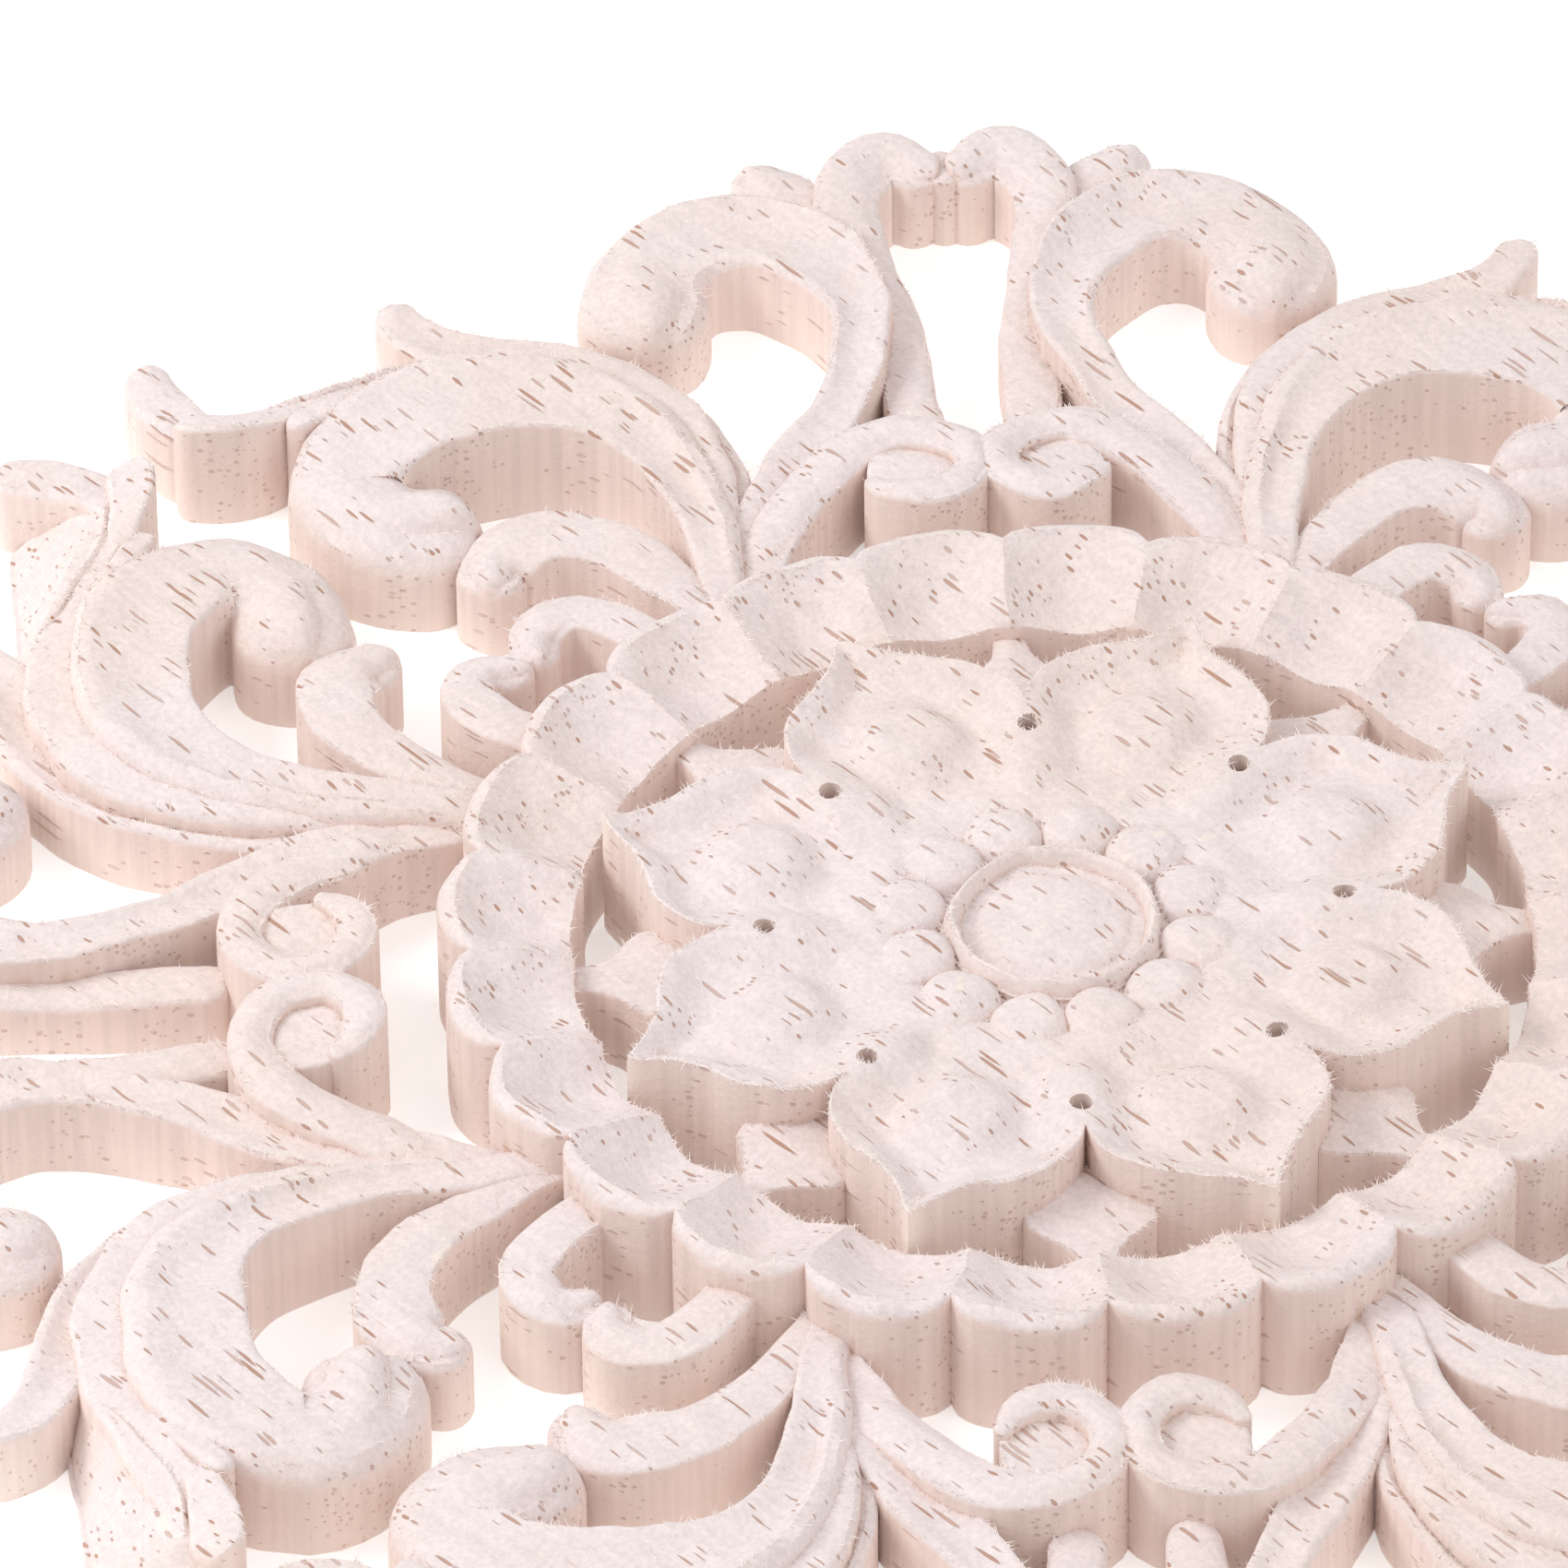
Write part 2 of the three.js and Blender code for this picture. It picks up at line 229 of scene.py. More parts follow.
@dataclass(frozen=True)
class Section:
    """The shape of a strand across its width, from its left edge (-1) to its right edge (1)."""

    left_round: float = 0.018
    right_round: float = 0.018
    most_round: float = 0.6
    spread: int = 9
    crowding: float = 1.4
    arc: tuple[float, ...] = (0.35, 0.7, 1.0)
    bulge: float = 0.9
    dish: float = 1.5

    def across(self) -> Array:
        """Places across the top: sines of even steps, which crowd near the edges."""
        turn = np.linspace(-1, 1, self.spread) * self.crowding
        return np.sin(turn) / math.sin(self.crowding)

    def crown(self, s: Array, rise: Array) -> Array:
        """A full round where the middle rises, and a dish between flat rims where it sinks."""
        inside = np.maximum(1 - s**2, 0)
        return rise * np.where(rise > 0, inside**self.bulge, inside**self.dish)


@dataclass(frozen=True)
class Strand:
    """A carved strand: a line in plan with a width, a height, a lean and a crown along it.

    Each row of points is x, y, half width, height of the edges over the back, how far the outer
    edge lies lower than the inner one, and how far the middle stands over the edges (or under
    them where it is negative). All are in drawing units.
    """

    points: tuple[tuple[float, ...], ...]
    first: End = End.OPEN
    last: End = End.ROUND
    pitch: float = 0.048
    fewest: int = 6
    probe: float = 1e-3
    section: Section = Section()
    soft_end: float = 0.0
    nose_rows: int = 8
    nose_from: float = 0.12
    nose_to: float = 0.985
    least_round: float = 0.1

    def stations(self) -> Array:
        """Rows along the strand: the columns of the points, the heading and both edges' rounds.

        The heading is the direction between two places a little before and after each row, and
        the rounds grow by the soft end over the last third.

        Returns:
            The rows, from the first end to the last.
        """
        points = np.array(self.points)
        length = np.linalg.norm(np.diff(points[:, :2], axis=0), axis=1).sum()
        t = np.linspace(0.0, 1.0, max(int(length / self.pitch), self.fewest))
        rows = spline(points, t)
        before, after = (np.clip(t + step, 0, 1) for step in (-self.probe, self.probe))
        heading = unit((spline(points, after) - spline(points, before))[:, :2])
        soft = self.soft_end * smooth(3 * t - 2)
        rounds = np.stack([self.section.left_round + soft, self.section.right_round + soft], axis=1)
        widest = self.section.most_round * np.maximum(rows[:, [HALF]], THINNEST)
        rows = np.concatenate([rows, heading, np.minimum(rounds, widest)], axis=1)
        if self.last is End.ROUND:
            rows = np.concatenate([rows, self.nose(rows[-1], 1.0)])
        if self.first is End.ROUND:
            rows = np.concatenate([self.nose(rows[0], -1.0)[::-1], rows])
        return rows

    def nose(self, row: Array, side: float) -> Array:
        """Rows on a half circle past an end, whose top drops by a quarter round at the tip.

        Args:
            row: The strand's row at that end.
            side: 1 to go on along the heading, -1 to go against it.

        Returns:
            The rows, from the strand outwards.
        """
        share = np.sin(np.linspace(self.nose_from, self.nose_to, self.nose_rows) * math.pi / 2)
        rows = np.repeat(row[None], len(share), axis=0)
        rows[:, :2] += side * row[HEADING] * (share * row[HALF])[:, None]
        rows[:, [HALF, CROWN]] *= np.sqrt(1 - share**2)[:, None]
        edge = row[ROUNDS].max()
        depth = np.maximum((share - 1) * row[HALF] + edge, 0) / edge
        left = np.sqrt(np.maximum(1 - depth**2, self.least_round**2))
        rows[:, HEIGHT] -= edge * (1 - left)
        rows[:, ROUNDS] *= left[:, None]
        return rows

    def shell(self) -> Shell:
        """The strand's closed mesh.

        Across the top the height is the edge height plus the section's crown, less a quarter
        round at both edges.

        Returns:
            The mesh, whose walls go down past the back.
        """
        x, y, half, height, lean, crown, dx, dy, left, right = self.stations().T[:, :, None]
        half = np.maximum(half, THINNEST)
        left, right = (np.minimum(edge, self.section.most_round * half) for edge in (left, right))
        s = self.section.across()[None, :]
        edge = height - lean * (1 + s) / 2
        top = edge + self.section.crown(s, crown)
        arc = np.array(self.section.arc)[None] * math.pi / 2
        fall, reach = 1 - np.cos(arc), np.sin(arc)
        feet = np.full((len(x), 1), -SKIRT)
        across = [
            -half,
            -(half - left + left * reach)[:, ::-1],
            s * (half - np.where(s < 0, left, right)),
            half - right + right * reach,
            half,
        ]
        level = [feet, (edge[:, :1] - left * fall)[:, ::-1], top, edge[:, -1:] - right * fall, feet]
        across = np.concatenate(across, axis=1)
        # The place across runs to the right of the heading, which is the outer side of a leaf.
        place = [x + dy * across, y - dx * across, np.concatenate(level, axis=1)]
        return loft(np.stack(place, axis=-1))


@dataclass(frozen=True)
class Polar:
    """A turned solid whose radii and heights change round the axis."""

    turns: int

    def shell(self) -> Shell:
        """The closed mesh: a profile of radius and height for each angle, joined all round.

        Returns:
            The mesh, with a cap at each pole where the profile is on the axis.
        """
        angles = np.arange(self.turns) * 2 * math.pi / self.turns
        radius, height = self.profile(angles)
        x = radius * np.cos(angles)[:, None]
        y = radius * np.sin(angles)[:, None]
        points = np.stack([x, y, height], axis=-1)
        index = np.arange(radius.size).reshape(radius.shape)
        around = np.roll(index, -1, axis=0)
        if self.on_axis():
            quads = np.stack([index[:, :-1], index[:, 1:], around[:, 1:], around[:, :-1]], axis=-1)
            poles = [index[:, 0], index[::-1, -1]]
            return Shell(points.reshape(-1, 3), quads.reshape(-1, 4), poles)
        quads = np.stack([index, np.roll(index, -1, 1), np.roll(around, -1, 1), around], axis=-1)
        return Shell(points.reshape(-1, 3), quads.reshape(-1, 4))

    def on_axis(self) -> bool:
        """Whether the profile starts and ends near the axis and a cap closes each pole."""
        return False

    def profile(self, angles: Array) -> tuple[Array, Array]:
        """Radius and height of each point of the profile.

        Args:
            angles: Where round the axis the profile is read.

        Returns:
            The radii and the heights, both with one row per angle.
        """
        raise NotImplementedError


def off_axis(angles: Array, count: int, offset: float) -> Array:
    """Signed distance from the nearest of some evenly spread axes.

    Args:
        angles: Where to measure it, in radians.
        count: How many axes there are.
        offset: The angle of one of the axes.

    Returns:
        0 on an axis, and -1 or 1 half way to the next one.
    """
    half = math.pi / count
    turned = (angles - offset) / (2 * half)
    return 2 * (turned - np.round(turned))


@dataclass(frozen=True)
class ScallopRing(Polar):
    """The ring of cupped shells: a slope up to a crest, then a rolled edge and a scalloped wall."""

    turns: int = 24 * 16
    shells: int = 24
    inner: float = 1.65
    inner_bulge: float = 0.02
    inner_lip: tuple[float, float] = (0.004, 0.01)
    crest: float = 1.99
    bulge: float = 0.078
    notch: float = 0.98
    roll: float = 0.05
    least_roll: float = 0.012
    roll_from: float = 0.2
    ridge_foot: float = 0.4
    ridge_rise: float = 0.105
    ridge_power: float = 0.75
    middle_foot: float = 0.35
    middle_rise: float = 0.15
    cup: float = 0.052
    cup_power: float = 1.5
    slope_rows: int = 14
    roll_rows: int = 5

    def profile(self, angles: Array) -> tuple[Array, Array]:
        """Ridges rise from the inner edge to the crest, and cups hollow the shells between them.

        The share of the way out runs from 0 at the inner edge to 1 at the crest. Across a shell
        the height falls from the ridges to the middle as a power of a parabola does, from a ridge
        line that is a power of the share to a middle line that is straight less a sine.

        Args:
            angles: Where round the axis the profile is read.

        Returns:
            The radii and the heights, both with one row per angle.
        """
        off = off_axis(angles, self.shells, math.pi / self.shells)[:, None]
        arc = np.sqrt(np.maximum(1 - self.notch * off**2, 0))
        t = np.linspace(0, 1, self.slope_rows)[None]
        inner = self.inner + self.inner_bulge * arc
        roll = self.least_roll + self.roll * arc
        crest = self.crest + self.bulge * arc
        ridge = self.ridge_foot + self.ridge_rise * t**self.ridge_power
        middle = self.middle_foot + self.middle_rise * t - self.cup * np.sin(math.pi * t)
        height = ridge - (ridge - middle) * (1 - off**2) ** self.cup_power
        radius = inner + (crest - inner) * t
        turn = np.linspace(self.roll_from, 1, self.roll_rows)[None] * math.pi / 2
        roll_radius = crest + roll * np.sin(turn)
        roll_height = height[:, -1:] - roll * (1 - np.cos(turn))
        wall = crest + roll
        feet = np.full((len(angles), 1), -SKIRT)
        lip, drop = self.inner_lip
        return (
            np.concatenate([inner, inner + lip, radius[:, 1:], roll_radius, wall, inner], axis=1),
            np.concatenate([height[:, :1] - drop, height, roll_height, feet, feet], axis=1),
        )


@dataclass(frozen=True)
class Boss(Polar):
    """The middle of the flower: a low dome in a groove, with a thin raised rim round it."""

    turns: int = 144
    pole: float = 0.03
    edge: float = 0.39
    disc: float = 0.27
    groove_height: float = 0.425
    dome: float = 0.045
    dome_power: float = 0.6
    rim: float = 0.35
    rim_height: float = 0.485
    rim_curve: float = 70.0
    coarse_to: float = 0.2
    coarse_rows: int = 4
    fine_from: float = 0.22
    fine_rows: int = 22

    def on_axis(self) -> bool:
        """The dome closes the middle."""
        return True

    def profile(self, angles: Array) -> tuple[Array, Array]:
        """The higher of a dome and a rim.

        The dome falls to the groove as a power of a parabola, and the rim is a parabola across.

        Args:
            angles: Where round the axis the profile is read.

        Returns:
            The radii and the heights, the same in every row.
        """
        coarse = np.linspace(self.pole, self.coarse_to, self.coarse_rows)
        radius = np.append(coarse, np.linspace(self.fine_from, self.edge, self.fine_rows))
        inside = np.maximum(1 - (radius / self.disc) ** 2, 0)
        dome = self.groove_height + self.dome * inside**self.dome_power
        height = np.maximum(dome, self.rim_height - self.rim_curve * (radius - self.rim) ** 2)
        radius = np.append(radius, radius[[-1, 0]])
        height = np.append(height, [-SKIRT, -SKIRT])
        return np.repeat(radius[None], len(angles), 0), np.repeat(height[None], len(angles), 0)


@dataclass(frozen=True)
class Flower(Polar):
    """The flower round the boss: a circle of beads and eight bowl-shaped petals."""

    turns: int = 8 * 56
    petals: int = 8
    inner: float = 0.36
    root: float = 0.64
    lip: float = 0.016
    lip_corner: float = 0.3
    root_rows: int = 17
    petal_rows: int = 26
    beads: int = 12
    bead_circle: float = 0.505
    bead_radius: float = 0.138
    bead_foot: float = 0.4
    bead_rise: float = 0.085
    bead_power: float = 0.35
    floor: float = 0.41
    floor_from: float = 0.46
    floor_rise: float = 0.04
    petal_rise: float = 0.06
    petal_rise_over: float = 0.3
    hollow: float = 0.07
    hollow_rim: float = 0.01
    hollow_slope: float = 0.17
    hollow_sides: float = 0.9
    hollow_root: float = 0.8
    hill: float = 0.062
    hill_circle: float = 1.07
    hill_radius: float = 0.25
    hill_steepness: float = 1.7
    notch: float = 1.13
    shoulder: float = 0.3
    shoulder_power: float = 0.7
    point: float = 0.25
    point_sharpness: float = 6.0
    point_blunt: float = 0.03

    def edge(self, off: Array) -> Array:
        """The petal's outline.

        A shoulder is a power of one less the cube of the distance off the petal's axis, and the
        point is an exponential of that distance with its tip blunted.

        Args:
            off: The distance off the nearest petal's axis, 0 on it and 1 in a notch.

        Returns:
            The outline's radius.
        """
        shoulder = self.shoulder * np.maximum(1 - off**3, 0) ** self.shoulder_power
        fall = np.exp(-self.point_sharpness * np.hypot(off, self.point_blunt))
        return self.notch + shoulder + self.point * fall

    def bead(self, radius: Array, angles: Array) -> Array:
        """Height of the beads: a power of a half ball's height.

        Args:
            radius: Distance from the flower's middle.
            angles: Angle round it.

        Returns:
            The height over the back, and far below it between the beads.
        """
        axis = off_axis(angles, self.beads, math.pi / self.beads) * math.pi / self.beads
        reach = (radius * np.cos(axis) - self.bead_circle) ** 2 + (radius * np.sin(axis)) ** 2
        ball = np.maximum(1 - reach / self.bead_radius**2, 0)
        return np.where(ball > 0, self.bead_foot + self.bead_rise * ball**self.bead_power, -1)

    def surface(self, radius: Array, angles: Array) -> Array:
        """Height of the flower's top at each radius and angle.

        A petal is a hollow with a raised rim and a dome on its axis, on a ground that rises
        outwards. The hollow deepens smoothly with the distance from the petal's outline. The
        higher of beads and petals shows.

        Args:
            radius: Distance from the flower's middle.
            angles: Angle round it.

        Returns:
            The height over the back.
        """
        off = np.abs(off_axis(angles, self.petals, math.pi / self.petals))
        sector = math.pi / self.petals
        floor_share = (radius - self.floor_from) / (self.root - self.floor_from)
        ground = self.floor + self.floor_rise * smooth(floor_share)
        ground = ground + self.petal_rise * smooth((radius - self.root) / self.petal_rise_over)
        side_gap = radius * sector * (1 - off) * self.hollow_sides
        root_gap = (radius - self.root) * self.hollow_root
        inside = np.minimum(np.minimum(self.edge(off) - radius, side_gap), root_gap)
        hollow = self.hollow * smooth((inside - self.hollow_rim) / self.hollow_slope)
        along, across = radius * np.cos(off * sector), radius * np.sin(off * sector)
        far = np.hypot(along - self.hill_circle, across) / self.hill_radius
        petal = ground - hollow + self.hill * smooth(self.hill_steepness * (1 - far))
        return np.maximum(self.bead(radius, angles), petal)

    def profile(self, angles: Array) -> tuple[Array, Array]:
        """Even steps out to the petals' roots and on to their edges; then the wall goes down.

        Args:
            angles: Where round the axis the profile is read.

        Returns:
            The radii and the heights, both with one row per angle.
        """
        off = np.abs(off_axis(angles, self.petals, math.pi / self.petals))[:, None]
        edge = self.edge(off)
        inner = np.linspace(self.inner, self.root, self.root_rows)[None]
        t = np.linspace(0, 1, self.petal_rows)[None, 1:]
        outer = self.root + (edge - self.lip - self.root) * t
        radius = np.concatenate([np.repeat(inner, len(angles), 0), outer], axis=1)
        height = self.surface(radius, angles[:, None])
        last = height[:, -1:]
        corner = self.lip_corner * self.lip
        feet = np.full((len(angles), 1), -SKIRT)
        centre = np.full((len(angles), 1), self.inner)
        return (
            np.concatenate([radius, edge - corner, edge, edge, centre], axis=1),
            np.concatenate([height, last - corner, last - self.lip, feet, feet], axis=1),
        )


@dataclass(frozen=True)
class Scrollwork:
    """The strands of one eighth of the carving, and those on its axes."""

    crown_strand: Strand = Strand(
        (
            (-0.2, 2.93, 0.1, 0.24, 0, 0.01),
            (-0.22, 3.2, 0.1, 0.22, 0, 0.01),
            (-0.23, 3.5, 0.1, 0.21, 0, 0.01),
            (-0.29, 3.8, 0.11, 0.25, 0.01, 0.02),
            (-0.355, 4.08, 0.115, 0.3, 0.02, 0.02),
            (-0.34, 4.32, 0.12, 0.345, 0.05, 0.02),
            (-0.22, 4.44, 0.12, 0.365, 0.07, 0.02),
            (-0.1, 4.39, 0.09, 0.35, 0.05, 0.02),
        ),
        first=End.ROUND,
        section=Section(left_round=0.035, right_round=0.03),
    )
    side_bud: Strand = Strand(
        (
            (-0.42, 4.05, 0.1, 0.24, 0, 0.0),
            (-0.55, 4.28, 0.135, 0.27, 0, 0.02),
            (-0.65, 4.41, 0.125, 0.27, 0, 0.03),
        ),
        soft_end=0.04,
    )
    hook: Strand = Strand(
        (
            (-0.93, 1.95, 0.1, 0.28, 0, 0.0),
            (-0.8, 2.4, 0.13, 0.31, 0, -0.01),
            (-0.66, 2.75, 0.13, 0.3, 0, -0.02),
            (-0.5, 3.05, 0.1, 0.31, 0, -0.02),
            (-0.4, 3.32, 0.1, 0.325, 0, -0.02),
            (-0.37, 3.6, 0.12, 0.335, 0, -0.03),
            (-0.47, 3.86, 0.155, 0.34, -0.02, -0.04),
            (-0.7, 4.06, 0.185, 0.33, -0.03, -0.05),
            (-0.93, 4.06, 0.2, 0.315, -0.02, -0.03),
            (-1.1, 3.92, 0.215, 0.305, 0, 0.02),
            (-1.14, 3.73, 0.24, 0.29, 0, 0.07),
        ),
        soft_end=0.07,
        section=Section(left_round=0.03, right_round=0.018),
    )
    volute: Strand = Strand(
        (
            (-0.94, 1.98, 0.07, 0.2, 0, 0.0),
            (-0.8, 2.3, 0.1, 0.31, 0, 0.02),
            (-0.62, 2.58, 0.1, 0.35, 0, 0.02),
            (-0.46, 2.74, 0.1, 0.37, 0, 0.02),
            (-0.27, 2.8, 0.08, 0.39, 0, 0.02),
            (-0.075, 2.69, 0.078, 0.41, 0, 0.02),
            (-0.05, 2.52, 0.072, 0.43, 0, 0.02),
            (-0.17, 2.4, 0.075, 0.44, 0, 0.015),
            (-0.32, 2.415, 0.065, 0.435, 0, 0.01),
            (-0.4, 2.5, 0.035, 0.41, 0, 0.0),
        ),
        section=Section(left_round=0.025, right_round=0.025),
    )
    eye: Strand = Strand(
        (
            (-0.26, 2.47, 0.15, 0.38, 0, 0.0),
            (-0.25, 2.58, 0.17, 0.37, 0, 0.0),
            (-0.25, 2.7, 0.15, 0.36, 0, 0.0),
        ),
    )
    leaf_lip: Strand = Strand(
        (
            (-0.93, 2.25, 0.05, 0.2, 0, 0.0),
            (-0.9, 2.48, 0.06, 0.27, 0, 0.0),
            (-0.9, 2.7, 0.065, 0.28, 0, -0.01),
            (-0.98, 2.96, 0.075, 0.29, 0, -0.02),
            (-1.15, 3.24, 0.085, 0.29, 0.01, -0.02),
            (-1.4, 3.44, 0.1, 0.29, 0.03, -0.03),
            (-1.7, 3.51, 0.115, 0.28, 0.02, -0.03),
            (-1.88, 3.57, 0.11, 0.28, 0, -0.02),
            (-1.99, 3.66, 0.095, 0.28, 0, -0.01),
            (-2.035, 3.74, 0.085, 0.28, 0, 0.01),
        ),
        section=Section(left_round=0.03, right_round=0.035),
    )
    leaf_fold: Strand = Strand(
        (
            (-0.97, 2.2, 0.05, 0.24, 0, 0.0),
            (-0.96, 2.5, 0.07, 0.33, 0, 0.0),
            (-0.98, 2.75, 0.08, 0.35, 0, 0.0),
            (-1.07, 3.02, 0.085, 0.365, 0, 0.0),
            (-1.26, 3.24, 0.095, 0.375, 0.01, 0.0),
            (-1.52, 3.35, 0.11, 0.375, 0.02, 0.0),
            (-1.82, 3.36, 0.115, 0.37, 0.03, 0.0),
            (-2.1, 3.29, 0.105, 0.37, 0.04, 0.0),
            (-2.3, 3.23, 0.1, 0.38, 0.05, 0.0),
            (-2.5, 3.14, 0.095, 0.38, 0.05, 0.0),
            (-2.66, 3.09, 0.09, 0.36, 0.03, 0.0),
            (-2.8, 3.14, 0.095, 0.325, 0, 0.0),
            (-2.9, 3.29, 0.105, 0.305, 0, 0.0),
            (-2.95, 3.45, 0.09, 0.3, 0, 0.01),
        ),
        section=Section(left_round=0.04, right_round=0.045),
    )
    leaf_body: Strand = Strand(
        (
            (-0.9, 1.8, 0.08, 0.31, 0, 0.0),
            (-0.97, 2.05, 0.085, 0.34, 0, 0.0),
            (-1.0, 2.35, 0.105, 0.37, 0, -0.02),
            (-1.08, 2.65, 0.125, 0.39, 0, -0.03),
            (-1.22, 2.9, 0.155, 0.41, -0.01, -0.02),
            (-1.45, 3.07, 0.195, 0.425, -0.02, -0.02),
            (-1.75, 3.1, 0.215, 0.425, -0.03, -0.015),
            (-2.02, 3.05, 0.22, 0.415, -0.03, -0.01),
            (-2.21, 2.89, 0.215, 0.4, -0.01, 0.0),
            (-2.28, 2.71, 0.205, 0.375, 0, 0.01),
            (-2.18, 2.56, 0.21, 0.36, 0, 0.03),
            (-2.02, 2.51, 0.22, 0.34, 0, 0.07),
        ),
        soft_end=0.06,
        section=Section(left_round=0.02, right_round=0.075),
    )
    corner_slope: Strand = Strand(
        (
            (-1.88, 3.47, 0.05, 0.28, 0.23, 0.0),
            (-2.1, 3.43, 0.08, 0.34, 0.32, 0.0),
            (-2.3, 3.37, 0.12, 0.36, 0.34, 0.0),
            (-2.5, 3.325, 0.17, 0.36, 0.34, 0.0),
            (-2.7, 3.315, 0.18, 0.33, 0.31, 0.0),
            (-2.86, 3.33, 0.165, 0.28, 0.26, 0.0),
        ),
        last=End.OPEN,
    )
    corner_bud: Strand = Strand(
        (
            (-2.4, 3.12, 0.04, 0.37, 0, 0.0),
            (-2.55, 3.075, 0.065, 0.42, 0.02, 0.0),
            (-2.68, 3.05, 0.085, 0.435, 0.04, 0.0),
            (-2.79, 3.05, 0.09, 0.43, 0.04, 0.0),
        ),
        section=Section(left_round=0.02, right_round=0.05),
    )
    corner_ridge: Strand = Strand(
        (
            (-2.02, 3.28, 0.03, 0.33, 0, 0.0),
            (-2.2, 3.17, 0.045, 0.39, 0, 0.0),
            (-2.34, 3.08, 0.05, 0.41, 0, 0.0),
            (-2.43, 3.02, 0.045, 0.41, 0, 0.0),
        ),
        section=Section(left_round=0.025, right_round=0.025),
    )
    inner_strand: Strand = Strand(
        (
            (-0.96, 1.8, 0.07, 0.31, 0, 0.0),
            (-1.1, 2.03, 0.09, 0.32, 0, 0.01),
            (-1.25, 2.22, 0.11, 0.33, 0, 0.01),
            (-1.42, 2.35, 0.12, 0.34, 0, 0.01),
            (-1.6, 2.39, 0.14, 0.34, 0, 0.01),
            (-1.74, 2.33, 0.145, 0.31, 0, 0.04),
            (-1.79, 2.26, 0.125, 0.29, 0, 0.05),
        ),
        soft_end=0.03,
    )
    ring_curl: Strand = Strand(
        (
            (-1.22, 1.64, 0.09, 0.38, 0, 0.01),
            (-1.36, 1.84, 0.1, 0.37, 0, 0.01),
            (-1.53, 1.93, 0.1, 0.36, 0, 0.01),
            (-1.65, 1.87, 0.1, 0.34, 0, 0.03),
            (-1.67, 1.77, 0.09, 0.33, 0, 0.03),
        ),
        soft_end=0.02,
    )
    crown_bud: Strand = Strand(
        ((0, 4.36, 0.055, 0.3, 0, 0.01), (0, 4.44, 0.055, 0.3, 0, 0.01)),
        first=End.ROUND,
    )
    sepal: Strand = Strand(
        (
            (0, 1.1, 0.05, 0.33, 0, 0.0),
            (0, 1.22, 0.14, 0.34, 0, 0.01),
            (0, 1.32, 0.2, 0.335, 0, 0.015),
            (0, 1.4, 0.23, 0.33, 0, 0.015),
            (0, 1.47, 0.17, 0.33, 0, 0.01),
            (0, 1.55, 0.09, 0.33, 0, 0.01),
            (0, 1.72, 0.06, 0.33, 0, 0.01),
        ),
        last=End.OPEN,
    )

    def eighth(self) -> list[Strand]:
        """The strands that repeat eight times, in pairs over each crown's axis."""
        return [
            self.crown_strand,
            self.side_bud,
            self.hook,
            self.volute,
            self.eye,
            self.leaf_lip,
            self.leaf_fold,
            self.leaf_body,
            self.corner_slope,
            self.corner_bud,
            self.corner_ridge,
            self.inner_strand,
            self.ring_curl,
        ]

    def groups(self) -> list[Shell]:
        """The strands' meshes in all their places.

        Returns:
            Meshes to join, each holding copies that don't touch one another.
        """
        quarter = math.pi / 2
        made = []
        for strand in self.eighth():
            shell = strand.shell()
            for mirror in (False, True):
                made.append(Shell.joined([shell.placed(k * quarter, mirror) for k in range(4)]))
        bud = self.crown_bud.shell()
        made.append(Shell.joined([bud.placed(k * quarter, False) for k in range(4)]))
        sepal = self.sepal.shell()
        made.append(Shell.joined([sepal.placed(k * quarter / 2, False) for k in range(8)]))
        return made


@dataclass(frozen=True)
class Pits:
    """The drilled pits between the petals."""

    count: int = 8
    radius: float = 0.04
    bottom: float = 0.31
    top: float = 0.7
    sides: int = 20

    def shell(self) -> Shell:
        """Short upright cylinders on the unit circle, from deep in the wood to above it.

        Returns:
            One mesh that holds them all.
        """
        angles = np.arange(self.sides) * 2 * math.pi / self.sides
        circle = np.stack([np.cos(angles), np.sin(angles)], axis=-1) * self.radius
        circle = circle + np.array([0.0, 1.0])
        levels = [np.full((self.sides, 1), level) for level in (self.bottom, self.top)]
        one = loft(np.stack([np.concatenate([circle, level], axis=1) for level in levels]))
        step = 2 * math.pi / self.count
        return Shell.joined([one.placed(k * step, False) for k in range(self.count)])


